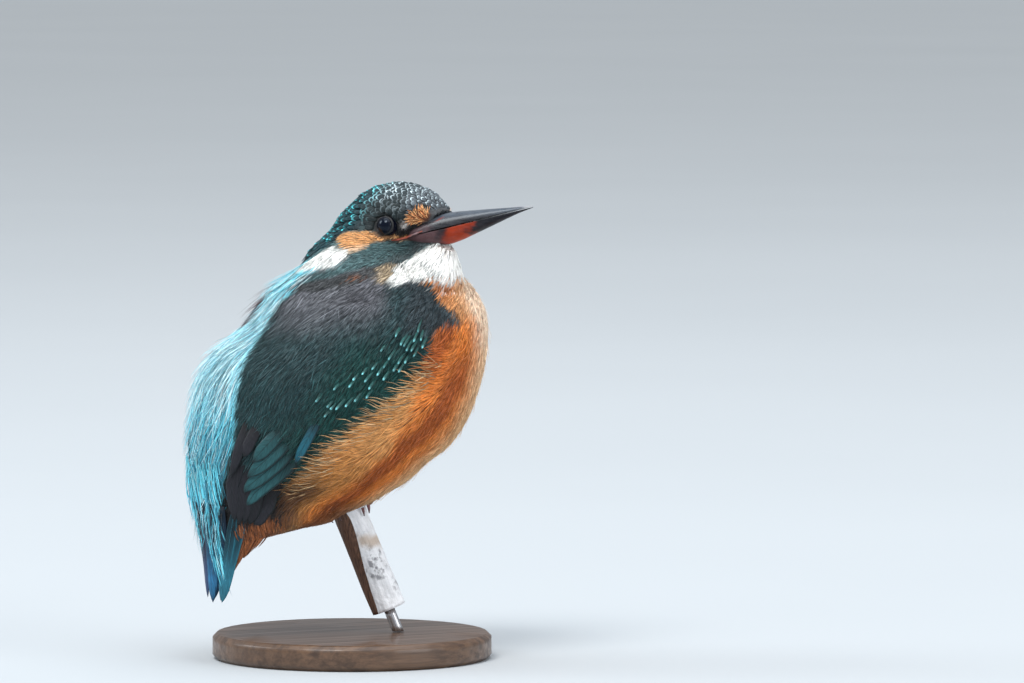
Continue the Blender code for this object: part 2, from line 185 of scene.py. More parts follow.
# the stripe's cyan, a paler painted highlight on it, and its deeper blue
CYAN, ICE_HIGHLIGHT, DEEP = (0.19, 0.80, 0.96), (0.80, 0.98, 1.0), (0.060, 0.33, 0.47)
CROWN, NAPE = (0.023, 0.036, 0.042), (0.006, 0.034, 0.043)
TEMPLE = (0.014, 0.022, 0.024)
WHITE, MALAR = (1.0, 0.99, 0.95), (0.090, 0.165, 0.172)
BLACK, EAR, SOOT = (0.016, 0.014, 0.015), (0.82, 0.42, 0.17), (0.062, 0.066, 0.070)
ASH, TUFT = (0.66, 0.62, 0.59), (0.46, 0.36, 0.24)
BIB, GOLD, SHOULDER = (1.0, 0.80, 0.62), (0.86, 0.44, 0.16), (0.68, 0.35, 0.15)
OCHRE, UMBER, PLUM = (0.50, 0.27, 0.10), (0.20, 0.062, 0.022), (0.13, 0.09, 0.10)
# the first of these, a grey mist on the upper mantle, is painted sheen
GREY_SHEEN, WING_RIM, CHEEK = (0.21, 0.22, 0.24), (0.060, 0.052, 0.032), (0.095, 0.092, 0.097)
CHESTNUT, BRISTLE_ROOT = (0.22, 0.085, 0.04), (0.30, 0.090, 0.035)
EAR_FOOT, FOREHEAD = (0.93, 0.76, 0.58), (0.13, 0.15, 0.17)
DARK_BARB, BACK_SHADE = (0.03, 0.22, 0.34), (0.022, 0.05, 0.065)
PLUME_GOLD, PLUME_RUST, SMOKED = (0.66, 0.47, 0.26), (0.42, 0.19, 0.06), (0.5, 0.6, 0.7)
BRISTLE_RUST, BRISTLE_PEACH = (0.60, 0.20, 0.06), (0.92, 0.54, 0.25)
FLECK_PALE, FLECK_BLUE = (0.50, 0.60, 0.64), (0.09, 0.60, 0.66)
DROP_GLOW, DROP_STREAK = (0.24, 0.72, 0.76), (0.012, 0.105, 0.098)

# outlines on the trunk: turn in degrees, ring height
DARK_BACK = ((190, 20), (150, 22), (132, 36), (116, 38.2), (102, 39.6), (95, 41.2), (95, 43.4),
             (99.5, 45.5), (101.5, 48), (102.5, 51.4), (103, 56),
             (101.5, 59), (97, 64), (92, 68.6), (87.5, 73), (84, 77), (82, 80), (82, 84),
             (82, 88), (78, 91.6), (69, 92.4), (60, 93.6), (68, 97.5), (74, 101),
             (80, 105), (90, 109), (190, 126))
STRIPE_EDGE = np.array(((28, 160), (35, 157), (41.4, 150), (47, 148), (52, 148.5),
                        (57.5, 151.5), (61.8, 154.5), (66.6, 156.5), (71.8, 160), (77.8, 164),
                        (84, 169), (89.9, 173), (96, 172.5), (100, 168.5), (103, 163),
                        (106, 161), (109, 166), (112, 178)))
FAR_EDGE = np.array(((28, 150), (41.4, 140), (52, 136), (70, 138), (80, 142), (86, 146),
                     (88.5, 160), (91, 167), (96, 168), (99, 160), (102, 150), (112, 160)))
# outlines on the side of the head: forward, up
LORAL_SPOT = ((7.4, 0.5), (7.9, 1.6), (9.6, 2.7), (11.4, 2.9), (12.9, 2.0), (13.6, 0.9),
              (12.7, -0.3), (9.8, -0.5), (8.0, 0.1))
EYE_FRONT = ((4.3, -0.4), (5.2, 0.5), (6.2, 0.8), (6.8, 0.2), (6.3, -0.8), (5.1, -1.4),
             (4.3, -1.3))
BLACK_LORES = ((2.5, -2.2), (3.8, -1.6), (5.6, -1.4), (7.1, -0.4), (9.0, -0.7), (12.4, -0.7),
               (14.6, 0.2), (17, -0.4), (17, -2.5), (12.7, -2.6), (7.6, -3.2), (4.3, -3.1),
               (2.9, -3.3))
EAR_PATCH = ((-10.1, -2.0), (-10.6, -0.6), (-8.9, 0.4), (-5.6, 0.3), (-3.4, -0.3),
             (-1.5, -1.2), (-0.1, -2.2), (2.7, -2.9), (5.5, -3.2), (5.5, -4.3), (2.4, -4.2),
             (0.8, -3.7), (-0.7, -3.5), (-1.7, -3.9), (-2.0, -5.2), (-3.5, -5.7),
             (-5.5, -5.3), (-7.7, -3.5))
NECK_PATCH = ((-10.0, -3.1), (-7.4, -4.4), (-5.0, -5.4), (-4.8, -7.0), (-5.7, -7.9),
              (-10, -7.8), (-15.7, -7.5), (-21.7, -7.1), (-23.0, -6.2), (-20.7, -5.5),
              (-17.6, -4.1), (-13.3, -3.2))
MALAR_BAND = ((2.6, -4.2), (1.0, -4.1), (-0.5, -3.9), (-1.3, -4.5), (-2.0, -5.7),
              (-3.4, -5.9), (-4.2, -7.4), (-5.7, -8.0), (-9.8, -8.2), (-15.2, -8.1),
              (-18.7, -8.6), (-24, -8.0), (-24, -11), (-18.5, -10.6), (-12, -11.8),
              (-6.4, -11.7), (-2.1, -11.0), (1.6, -10.4), (4.1, -10.5), (5.0, -9.7),
              (4.9, -8.4), (7.9, -7.5), (11.3, -6.9), (14, -6.6), (14, -5), (8.2, -4.6),
              (4.6, -3.8))
SOOT_BAND = ((-20, -11), (-12, -11.5), (-6, -12.0), (-1.5, -11.0), (1.7, -10.3), (5, -10.3),
             (4.9, -11.9), (3, -12), (2.8, -13.6), (0.7, -15.4), (-3.3, -15.6),
             (-8.5, -15.2), (-18, -14))
THROAT = ((14, -6.6), (9.6, -7.4), (5.7, -8.6), (5.2, -10.3), (4.8, -11.7), (5.8, -13.6),
          (7.0, -15.6), (8.1, -15.4), (8.7, -14.4), (10, -14.7), (12.1, -14.4),
          (13.4, -14.6), (14.1, -16.4), (14.0, -18.4), (12.0, -19.2), (20, -21), (22, -5),
          (17, -5.5))
CREAM_TUFT = ((4.2, -15.6), (2.8, -13.0), (2.5, -11.1), (3.1, -10.5), (4.4, -11.1),
              (5.2, -12.8), (5.8, -14.6), (5.6, -15.8))
RUST_BITS = ((-2.9, -14.1), (-2.1, -12.3), (0.2, -12.5), (1.8, -13.8), (0.1, -14.9))
CAP_EDGE = np.array(((-30, -9), (-24.3, -4.4), (-19.4, -3.3), (-13.7, -2.5), (-10.9, -1.4),
                     (-9, 0.7), (-5.7, 0.6), (-3.1, 0.0), (-1.8, -0.6), (2, -1.4), (4.5, 0.6),
                     (7.2, 1.9), (9.1, 3.6), (11.3, 4.2), (13.3, 3.2), (14.7, 1.6), (16, 0.9)))


def masks(points):
    """Where each marking lies, for points in millimetres."""
    q = head_space(points)
    wander = 0.35 * drift(points, 3.0, 5) + 0.2 * drift(points, 1.4, 6)
    f, s, h = q[:, 0] + wander, np.abs(q[:, 1]), q[:, 2] + wander * 0.7
    ring, turn = trunk_chart(points)
    t = turn + 1.6 * drift(points, 5.0, 7)
    z = ring + 0.6 * drift(points, 4.0, 8)
    near_head = fall(1.15, 1.5, from_middle(q, 25, 17, 16))
    edge = np.where(points[:, 1] > 0, np.interp(ring, FAR_EDGE[:, 0], FAR_EDGE[:, 1]),
                    np.interp(ring, STRIPE_EDGE[:, 0], STRIPE_EDGE[:, 1]))
    cap = smooth(-0.3, 0.5, h - np.interp(f, CAP_EDGE[:, 0], CAP_EDGE[:, 1])) * near_head
    brow = smooth(11.5, 12.5, q[:, 0]) * smooth(-1.6, -0.6, q[:, 2]) * fall(3.9, 4.5, s)
    m = {
        "f": q[:, 0], "s": q[:, 1], "h": q[:, 2], "ring": ring, "turn": turn, "t": t, "z": z,
        "dark": inside(DARK_BACK, t, z, 1.1),
        "stripe": smooth(-2.2, 1.6, turn + 1.5 * drift(points, 2.5, 9) - edge),
        "cap": np.maximum(cap, brow * near_head), "head": near_head,
        "loral": inside(LORAL_SPOT, q[:, 0] + 0.3 * wander + 1.3 * (q[:, 1] > 0), q[:, 2], 0.35)
        * smooth(3.7, 4.5, s),
        "eye_front": inside(EYE_FRONT, q[:, 0], q[:, 2], 0.5),
        "lores": inside(BLACK_LORES, q[:, 0], q[:, 2], 0.4),
        "throat": inside(THROAT, q[:, 0] + 0.5 * wander, q[:, 2], 0.5),
    }
    for name, outline, soft in (("ear", EAR_PATCH, 0.45), ("neck_patch", NECK_PATCH, 0.45),
                                ("malar", MALAR_BAND, 0.5), ("soot", SOOT_BAND, 0.7),
                                ("tuft", CREAM_TUFT, 0.6), ("rust_bits", RUST_BITS, 0.6)):
        m[name] = inside(outline, f, h, soft)
    return m


def mix(base, colour, share):
    return base + (np.asarray(colour) - base) * np.asarray(share)[:, None]


def layered(ground, count, *layers):
    """A ground colour with others laid over it in turn, each by its share."""
    c = np.tile(np.array(ground), (count, 1))
    for colour, share in layers:
        c = mix(c, colour, share)
    return c


def temple_share(f, h):
    """The dark, plain side of the crown over the eye."""
    return smooth(-9, -4, f) * smooth(9.0, 6.0, h) * smooth(9, 7, f)


def back_colour(points, m, past):
    """The mantle and the folded wing, from the shoulder to the rump, with painted sheen on the
    upper mantle.
    """
    t, z = m["t"], m["z"]
    return layered(
        TEAL, len(points),
        # purple and grey over the upper mantle: painted sheen
        (PURPLE_SHEEN, smooth(84, 99, z) * smooth(100, 116, t) * fall(168, 176, t)),
        (GREY_SHEEN, 0.45 * smooth(84, 92, z) * smooth(128, 142, t) * fall(160, 168, t)),
        (PURPLE_SHEEN, 0.12 * smooth(66, 84, z) * smooth(112, 128, t)),
        (GREEN, fall(78, 92, z) * fall(108, 128, t)),
        (SLATE, fall(92, 108, t) * smooth(88, 92, z)),
        (GREEN, 0.5 * fall(58, 66, z) * fall(126, 140, t)),
        (WING_RIM, 0.7 * fall(-4, 0.5, past) * smooth(47, 52, z) * fall(80, 86, z)),
        # the slate made half again as light towards the breast's front: painted rim light
        (tuple(1.5 * c for c in SLATE), fall(66, 78, t) * smooth(90, 93, z)),
        (BLACK, fall(44, 49, z)),
        (PLUM, (points[:, 1] > 0) * smooth(120, 140, t) * smooth(78, 86, z)))


def coat_colour(points):
    """The markings' colour at points in millimetres, for skin and feathers alike, with painted
    sheen, highlights and rim light among them.
    """
    m = masks(points)
    t, z, ring, f, h = m["t"], m["z"], m["ring"], m["f"], m["h"]
    past = t - brim_turn(ring)
    middle = np.interp(z, (47, 53, 59, 66, 73, 80, 90), (60, 68, 67, 65.5, 60.5, 58, 57))
    stripe = m["stripe"]
    upper = m["head"] * smooth(2.5, 4.5, f) * smooth(-4.4, -3.4, h)
    cap = layered(NAPE, len(points), (CROWN, smooth(-12, 0, f)), (TEMPLE, temple_share(f, h)),
                  (FOREHEAD, 0.7 * smooth(5, 9, f)))
    return layered(
        FRONT_AND_RIM_LIGHT, len(points),
        # underparts: a pale front that is partly painted rim light, orange sides, and a rust band
        # along the flank
        (CREAM_AND_RIM_LIGHT, smooth(16, 34, t)),
        (BUFF, fall(70, 92, z)),
        (BIB, 0.8 * smooth(85, 93, z) * fall(46, 56, t)),
        (ORANGE, smooth(40, 62, t + 5 * smooth(98, 84, z) - 9 * smooth(93, 98, z))),
        (FLANK, smooth(70, 82, t)),
        (GOLD, 0.6 * (smooth(70, 78, t) * smooth(54, 64, z) * fall(77, 83, z))),
        (RUST, 0.75 * (fall(2.5, 9.5, np.abs(t - middle)) * smooth(42, 48, z) * fall(80, 92, z))),
        (SHOULDER, 0.65 * smooth(91, 96, z) * smooth(50, 58, t) * fall(75, 84, t)),
        (RUST, 0.78 * (smooth(62, 72, t) * fall(84, 90, t) * smooth(76, 84, z)) * fall(92, 96, z)),
        (SMOKE, 0.55 * smooth(-4.5, -0.5, past) * smooth(44, 52, z) * fall(82, 90, z)),
        (VENT, fall(38, 46, z) * smooth(35, 60, t)),
        (OCHRE, 0.6 * fall(40, 43, z) * smooth(36, 38.5, z) * smooth(52, 62, t) * fall(80, 90, t)),
        # darker low on the flank
        (DARK_LOW_FLANK, 0.88 * smooth(77, 88, t) * smooth(39, 43, z) * fall(47, 53, z)),
        (RUST, 0.5 * smooth(99, 103, z) * fall(70, 95, t) * smooth(58, 68, t)),
        (UMBER, 0.85 * fall(46, 52, z) * smooth(8, 26, t) * fall(58, 72, t)),
        # upperparts
        (back_colour(points, m, past), m["dark"]),
        (CYAN, stripe * smooth(24, 30, ring)),
        # pale ice over the middle of the stripe: painted highlight
        (ICE_HIGHLIGHT, 0.42 * stripe * smooth(52, 72, ring) * smooth(104, 92, ring)),
        (DEEP, 0.45 * stripe * smooth(56, 44, ring)),
        # the head's ground colour, then its markings
        (MALAR, m["head"] * smooth(-12, -10, h)),
        (BLACK, 0.85 * upper),
        (SOOT, m["soot"]),
        (MALAR, m["malar"]),
        (CHEEK, m["malar"] * 0.6 * smooth(2.5, 6.5, f - 0.5 * h - 3)),
        (TUFT, m["tuft"]),
        (CHESTNUT, 0.8 * m["rust_bits"] * smooth(-0.1, 0.5, drift(points, 1.6, 12))),
        (WHITE, m["neck_patch"]),
        (EAR, m["ear"]),
        (EAR_FOOT, m["ear"] * fall(-5.2, -3.2, h) * 0.6),
        (WHITE, m["throat"]),
        (SOOT, m["throat"] * fall(5, 7, f) * 0.12),
        (cap, m["cap"]),
        (BLACK, m["lores"]),
        (ASH, m["eye_front"]),
        (BRISTLE_ROOT, m["loral"]),
        (BLACK, fall(2.7, 3.5, from_eye(f, h)) * (1 - m["eye_front"] * 0.8)))


# ---------------------------------------------------------------- lie of the coat
def brim_turn(ring):
    """The turn at which the flank meets the wing."""
    return np.interp(ring, (44, 48, 51.4, 56, 59, 64, 68.6, 73, 77, 80, 84, 88),
                     (104, 104.5, 107.5, 109, 107.5, 103, 98, 93, 88.5, 85.5, 84.5, 84))


def lie_of_head(q):
    """The coat of the head runs back from the bill, down under the chin and round the eye."""
    away = unit(q - np.array((17.0, 0, -1.0))) + np.array((-0.75, 0, -0.12))
    chin = (smooth(-4, -9, q[:, 2]) * smooth(-4, 5, q[:, 0]))[:, None]
    side = np.sign(q[:, 1]) * smooth(0.5, 3.0, np.abs(q[:, 1]))
    down = np.stack((np.full(len(q), -0.42), 0.30 * side, np.full(len(q), -0.85)), 1)
    face = away * (1 - chin) + down * chin
    ef, eh = q[:, 0] - EYE_SHIFT[0], q[:, 2] - EYE_SHIFT[1]
    gap = np.hypot(ef, eh)
    spoke = np.stack((ef, np.zeros(len(q)), eh), 1) / np.maximum(gap, 0.1)[:, None]
    near = fall(3.8, 6.2, gap) * (np.abs(q[:, 1]) > 4)
    inward = np.minimum(np.sum(face * spoke, -1), 0) * near
    face = face - spoke * inward[:, None] * 1.15
    face[:, 2] += np.where(eh > -0.4, 0.4, -0.4) * near
    return unit(face @ HEAD_AXES.T)


def lie_of_body(points):
    """The coat of the body runs to the tail, over the wing's edge and down by the vent."""
    ring, turn = trunk_chart(points)
    past = turn - brim_turn(ring)
    brim = smooth(-32, -5, past) * fall(0, 3, past) * smooth(44, 50, ring) * fall(84, 90, ring)
    body = unit(TAIL_ROOT - points) + np.array((-1.3, 0, 0.85)) * brim[:, None]
    low = (smooth(46, 38, points[:, 2]) * smooth(52, 72, turn))[:, None]
    return unit(body * (1 - low) + np.array((0.25, 0, -1.0)) * low)


def lie(points, normals):
    """The direction in which the coat lies, along the surface."""
    q = head_space(points)
    on_head = fall(1.05, 1.5, from_middle(q, 24, 16, 15))[:, None]
    return along(normals, lie_of_head(q) * on_head + lie_of_body(points) * (1 - on_head))


# ---------------------------------------------------------------- mesh helpers
def deselect():
    if bpy.context.object and bpy.context.object.mode != "OBJECT":
        bpy.ops.object.mode_set(mode="OBJECT")
    bpy.ops.object.select_all(action="DESELECT")


def pick(*objects):
    deselect()
    for o in objects:
        o.select_set(True)
    bpy.context.view_layer.objects.active = objects[0]


@contextmanager
def editing(select="SELECT"):
    """Edit mode on the active object, with everything or nothing selected."""
    bpy.ops.object.mode_set(mode="EDIT")
    bpy.ops.mesh.select_all(action=select)
    yield
    bpy.ops.object.mode_set(mode="OBJECT")


def apply_modifier(o, kind, **settings):
    pick(o)
    modifier = o.modifiers.new(kind.title(), kind)
    for key, value in settings.items():
        setattr(modifier, key, value)
    bpy.ops.object.modifier_apply(modifier=modifier.name)


def copy_of(nodes, name):
    """The named solids as one merged mesh of its own."""
    twins = []
    for node in nodes:
        twin = bpy.data.objects.new(name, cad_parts[node].data.copy())
        bpy.context.scene.collection.objects.link(twin)
        twins.append(twin)
    pick(*twins)
    if len(twins) > 1:
        bpy.ops.object.join()
    o = bpy.context.object
    o.name = name
    o.data.materials.clear()
    with editing():
        bpy.ops.mesh.customdata_custom_splitnormals_clear()
        bpy.ops.mesh.remove_doubles(threshold=1e-6)
        bpy.ops.mesh.tris_convert_to_quads()
    return o


def refined(nodes, name, levels=2, sharp=50.0, crease=0.8):
    """A copy of solids, rounded by subdivision, that keeps its sharp edges."""
    o = copy_of(nodes, name)
    pick(o)
    with editing("DESELECT"):
        bpy.ops.mesh.edges_select_sharp(sharpness=math.radians(sharp))
        bpy.ops.transform.edge_crease(value=crease)
    apply_modifier(o, "SUBSURF", levels=levels, render_levels=levels)
    bpy.ops.object.shade_smooth()
    return o


def read(items, key, wide, kind=np.float32):
    """One value of every item of a mesh, as rows."""
    values = np.zeros(len(items) * wide, kind)
    items.foreach_get(key, values)
    return values.reshape(-1, wide)


def points_of(o):
    return read(o.data.vertices, "co", 3).astype(float) / MM


def put_points(o, points):
    o.data.vertices.foreach_set("co", (points * MM).astype(np.float32).ravel())
    o.data.update()


def paint(o, name, colours, strength=None):
    """Gives each vertex a colour, and a share in the fourth channel."""
    rgba = np.ones((len(colours), 4), np.float32)
    rgba[:, :3] = np.clip(colours, 0, 4)
    if strength is not None:
        rgba[:, 3] = strength
    o.data.attributes.new(name, "FLOAT_COLOR", "POINT").data.foreach_set("color", rgba.ravel())


def placed(o, slot_name, *replaced, finish=None):
    """Rides a finished piece on the bird and hides the solids it stands for."""
    if finish:
        o.data.materials.append(finish)
    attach(o, "root")
    if replaced:
        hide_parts(*replaced)
    return o


# ---------------------------------------------------------------- materials
class Finish:
    """A material, or an effect that materials share, made node by node."""

    def __init__(self, name, tree=None):
        self.tree = tree
        if tree is None:
            self.material = bpy.data.materials.new(name)
            self.material.use_nodes = True
            self.tree = self.material.node_tree
            self.tree.nodes.clear()
            self.shader = self.tree.nodes.new("ShaderNodeBsdfPrincipled")
            out = self.tree.nodes.new("ShaderNodeOutputMaterial")
            self.tree.links.new(self.shader.outputs["BSDF"], out.inputs["Surface"])

    def fill(self, node, values):
        for key, value in values.items():
            if isinstance(value, bpy.types.NodeSocket):
                self.tree.links.new(value, node.inputs[key])
            else:
                node.inputs[key].default_value = value
        return node

    def add(self, kind, inputs=None, **settings):
        node = self.tree.nodes.new("ShaderNode" + kind)
        for key, value in settings.items():
            setattr(node, key, value)
        return self.fill(node, inputs or {})

    def math(self, operation, a, b=0.0):
        return self.add("Math", {0: a, 1: b}, operation=operation).outputs[0]

    def times(self, a, b):
        return self.math("MULTIPLY", a, b)

    def plus(self, a, b):
        return self.math("ADD", a, b)

    def off(self, a, b):
        """How far a value lies from another."""
        return self.math("ABSOLUTE", self.math("SUBTRACT", a, b))

    def split(self, vector):
        return self.add("SeparateXYZ", {0: vector}).outputs

    def join(self, x, y, z):
        return self.add("CombineXYZ", {0: x, 1: y, 2: z}).outputs[0]

    def blend(self, share, a, b, way="MIX"):
        node = self.add("Mix", {0: share, 6: a, 7: b}, data_type="RGBA", blend_type=way)
        return node.outputs[2]

    def shaded(self, colour, by):
        return self.blend(1.0, colour, by, "MULTIPLY")

    def ramp(self, value, low, high, to_low=0.0, to_high=1.0):
        node = self.add("MapRange", {0: value, 1: low, 2: high, 3: to_low, 4: to_high},
                        interpolation_type="SMOOTHSTEP")
        return node.outputs[0]

    def noise(self, vector, scale, detail=3.0, rough=0.55):
        return self.add("TexNoise", {"Vector": vector, "Scale": scale, "Detail": detail,
                                     "Roughness": rough}).outputs[0]

    def scaled(self, vector, scale, turn=(0, 0, 0)):
        return self.add("Mapping", {"Vector": vector, "Scale": scale, "Rotation": turn}).outputs[0]

    def place(self):
        return self.add("TexCoord").outputs["Object"]

    def laid(self, name="Tint"):
        """What was painted on the piece: its colour and its share."""
        out = self.add("Attribute", attribute_name=name).outputs
        return out["Color"], out["Alpha"]

    def bump(self, height, strength, distance):
        return self.add("Bump", {"Height": height, "Strength": strength,
                                 "Distance": distance}).outputs[0]

    def use(self, group, **inputs):
        node = self.add("Group", node_tree=group)
        return self.fill(node, {k.capitalize(): v for k, v in inputs.items()}).outputs

    def mottled(self, tint, fine, coarse, contrast):
        return self.use(MOTTLE, vector=self.place(), tint=tint, fine=fine, coarse=coarse,
                        contrast=contrast)

    def surface(self, **values):
        self.fill(self.shader, {k.replace("_", " ").title().replace("Ior", "IOR"): v
                                for k, v in values.items()})
        return self.material


SOCKETS = {"color": "NodeSocketColor", "value": "NodeSocketFloat", "vector": "NodeSocketVector"}


def effect(name, build, inputs, outputs):
    """A node group that materials share, filled in by its build function."""
    tree = bpy.data.node_groups.new(name, "ShaderNodeTree")
    for label, (kind, default) in inputs.items():
        socket = tree.interface.new_socket(label, in_out="INPUT", socket_type=SOCKETS[kind])
        if default is not None:
            socket.default_value = default
    for label, kind in outputs.items():
        tree.interface.new_socket(label, in_out="OUTPUT", socket_type=SOCKETS[kind])
    maker = Finish(name, tree)
    given = tree.nodes.new("NodeGroupInput").outputs
    leave = tree.nodes.new("NodeGroupOutput")
    maker.fill(leave, build(maker, given))
    return tree


def barbs(m, given):
    """Fine barbs that run slantwise from the shaft of each feather to its edges."""
    split = m.split(given["Vane"])
    off = m.times(given["Chance"], 37.0)
    x = m.plus(m.times(split[0], given["Across"]), off)
    y = m.plus(m.times(split[1], given["Lengthwise"]), off)
    streak = m.noise(m.join(x, y, off), 1.0, 3.0, 0.6)
    share = m.ramp(streak, 0.32, 0.68)
    dark = m.blend(given["Contrast"], (1, 1, 1, 1), (0.25, 0.25, 0.27, 1))
    shaded, bright = m.shaded(given["Tint"], dark), m.shaded(given["Tint"], (1.35, 1.35, 1.35, 1))
    return {"Color": m.blend(share, shaded, bright), "Height": share,
            "Roughness": m.ramp(streak, 0.2, 0.8, 0.62, 0.42)}


def fibres(m, given):
    """Long fibres with pits between them, drawn along Z of the vector given."""
    split = m.split(given["Vector"])
    x, y = (m.times(split[k], given["Fine"]) for k in (0, 1))
    grain = m.noise(m.join(x, y, m.times(split[2], given["Long"])), 1.0, 5.0, 0.62)
    share = m.ramp(grain, 0.3, 0.7)
    return {"Color": m.blend(share, given["Dark"], given["Light"]), "Height": grain}


def mottle(m, given):
    """Small mottling and pores, for horn, skin and paint."""
    fine = m.noise(given["Vector"], given["Fine"], 2.0)
    share = m.times(m.plus(fine, m.noise(given["Vector"], given["Coarse"], 3.0)), 0.5)
    dark = m.blend(given["Contrast"], (1, 1, 1, 1), (0.2, 0.2, 0.2, 1))
    colour = m.blend(m.ramp(share, 0.38, 0.6), m.shaded(given["Tint"], dark), given["Tint"])
    return {"Color": colour, "Height": fine, "Share": share}


VECTOR, COLOUR = ("vector", None), ("color", None)
BARBS = effect("Barbs", barbs, {
    "Tint": COLOUR, "Vane": VECTOR, "Chance": ("value", 0.5), "Across": ("value", 7.0),
    "Lengthwise": ("value", 1.3), "Contrast": ("value", 0.5)},
    {"Color": "color", "Height": "value", "Roughness": "value"})
FIBRES = effect("Fibres", fibres, {
    "Vector": VECTOR, "Fine": ("value", 900.0), "Long": ("value", 40.0),
    "Light": ("color", (0.4, 0.3, 0.2, 1)), "Dark": ("color", (0.1, 0.07, 0.04, 1))},
    {"Color": "color", "Height": "value"})
MOTTLE = effect("Mottle", mottle, {
    "Vector": VECTOR, "Tint": COLOUR, "Fine": ("value", 2500.0), "Coarse": ("value", 300.0),
    "Contrast": ("value", 0.3)},
    {"Color": "color", "Height": "value", "Share": "value"})


def plumage_finish(name, across, lengthwise, contrast, sheen, relief, flecked=False, shine=0.35):
    """Feather surface: the tint laid on each feather, broken by its barbs."""
    m = Finish(name)
    colour, chance = m.laid()
    vane = m.add("UVMap", uv_map="Vane").outputs[0]
    if flecked:
        fleck, shown = m.laid("Fleck")
        split = m.split(vane)
        bow = m.math("POWER", m.off(split[0], 0.5), 2.0)
        level = m.plus(split[1], m.times(bow, 1.1))
        ragged = m.noise(m.scaled(vane, (9, 2, 1)), 1.0, 2.0)
        level = m.plus(level, m.times(m.math("SUBTRACT", ragged, 0.5), 0.16))
        band = m.times(m.ramp(level, 0.78, 0.86), m.ramp(level, 1.14, 1.02))
        colour = m.blend(m.times(band, shown), colour, fleck)
    out = m.use(BARBS, tint=colour, vane=vane, chance=chance, across=across,
                lengthwise=lengthwise, contrast=contrast)
    return m.surface(base_color=out["Color"], roughness=out["Roughness"], sheen_weight=sheen,
                     sheen_roughness=0.4, specular_ior_level=shine,
                     normal=m.bump(out["Height"], relief, 0.00012))


def quill_finish():
    """Stiff vanes: slanting barbs, a dark shaft and dark margins."""
    m = Finish("flight feather vanes")
    tint, chance = m.laid()
    margin, _ = m.laid("Fleck")
    split = m.split(m.add("UVMap", uv_map="Vane").outputs[0])
    off = m.off(split[0], 0.46)
    edge = m.math("MAXIMUM", m.ramp(off, 0.36, 0.50), m.ramp(split[1], 0.90, 1.0))
    shaft = m.ramp(off, 0.035, 0.012)
    colour = m.blend(m.times(edge, 0.7), tint, margin)
    colour = m.blend(m.times(shaft, 0.6), colour, margin)
    slant = m.join(m.times(off, 2.0), m.math("SUBTRACT", split[1], m.times(off, 0.35)), 0.0)
    out = m.use(BARBS, tint=colour, vane=slant, chance=chance, across=2.0, lengthwise=46.0,
                contrast=0.30)
    height = m.plus(m.times(out["Height"], 0.6), m.times(shaft, 1.2))
    return m.surface(base_color=out["Color"], roughness=out["Roughness"], sheen_weight=0.04,
                     sheen_roughness=0.4, specular_ior_level=0.25,
                     normal=m.bump(height, 0.5, 0.00012))


def skin_finish():
    m = Finish("skin under the coat")
    out = m.mottled(m.laid()[0], 1800.0, 500.0, 0.6)
    # the skin's colour is darkened to about half: painted shade where it shows between the
    # feathers
    return m.surface(base_color=m.shaded(out["Color"], (0.55, 0.5, 0.48, 1)), roughness=0.8,
                     sheen_weight=0.1, normal=m.bump(out["Height"], 0.6, 0.0002))


def horn_finish(name, rough, coat, shine=0.4):
    """Horn with streaks along it, worn paler on some of them."""
    m = Finish(name)
    turned = m.scaled(m.place(), (1, 1, 1), (0, 0, math.radians(-HEAD_TURN)))
    streak = m.noise(m.scaled(turned, (120, 1100, 1500)), 1.0, 4.0)
    out = m.mottled(m.laid()[0], 4200.0, 420.0, 0.35)
    worn = m.blend(m.ramp(streak, 0.4, 0.75, 0.0, 0.10), out["Color"], (0.24, 0.23, 0.26, 1))
    return m.surface(base_color=worn, roughness=m.ramp(streak, 0.3, 0.7, rough, rough + 0.16),
                     specular_ior_level=shine, coat_weight=coat, coat_roughness=0.2,
                     normal=m.bump(m.plus(out["Height"], m.times(streak, 1.4)), 0.28, 0.00008))


def scaled_skin_finish():
    m = Finish("scaled foot skin")
    cells = m.add("TexVoronoi", {"Vector": m.place(), "Scale": 1700.0},
                  feature="DISTANCE_TO_EDGE").outputs["Distance"]
    groove = m.ramp(cells, 0.02, 0.18)
    out = m.mottled(m.laid()[0], 3500.0, 600.0, 0.4)
    colour = m.blend(groove, m.shaded(out["Color"], (0.45, 0.35, 0.35, 1)), out["Color"])
    return m.surface(base_color=colour, roughness=m.ramp(cells, 0.0, 0.3, 0.6, 0.38),
                     normal=m.bump(groove, 0.5, 0.00015))


def eye_finish():
    m = Finish("wet eye")
    fleck = m.noise(m.place(), 2600.0, 4.0)
    colour = m.blend(m.ramp(fleck, 0.4, 0.7, 0.0, 0.5), m.laid()[0], (0.004, 0.003, 0.004, 1))
    return m.surface(base_color=colour, roughness=m.ramp(fleck, 0.3, 0.7, 0.10, 0.15),
                     specular_ior_level=0.16, specular_tint=(0.62, 0.80, 1.0, 1),
                     coat_weight=0.12, coat_roughness=0.10)


def bare_skin_finish(name, tint, fine, coarse, smoothest, **more):
    """Thin bare skin, as on an eyelid or the corner of the mouth."""
    m = Finish(name)
    out = m.mottled(tint or m.laid()[0], fine, coarse, 0.5)
    return m.surface(base_color=out["Color"], normal=m.bump(out["Height"], 0.5, 0.0001),
                     roughness=m.ramp(out["Share"], 0.3, 0.7, 0.5, smoothest), **more)


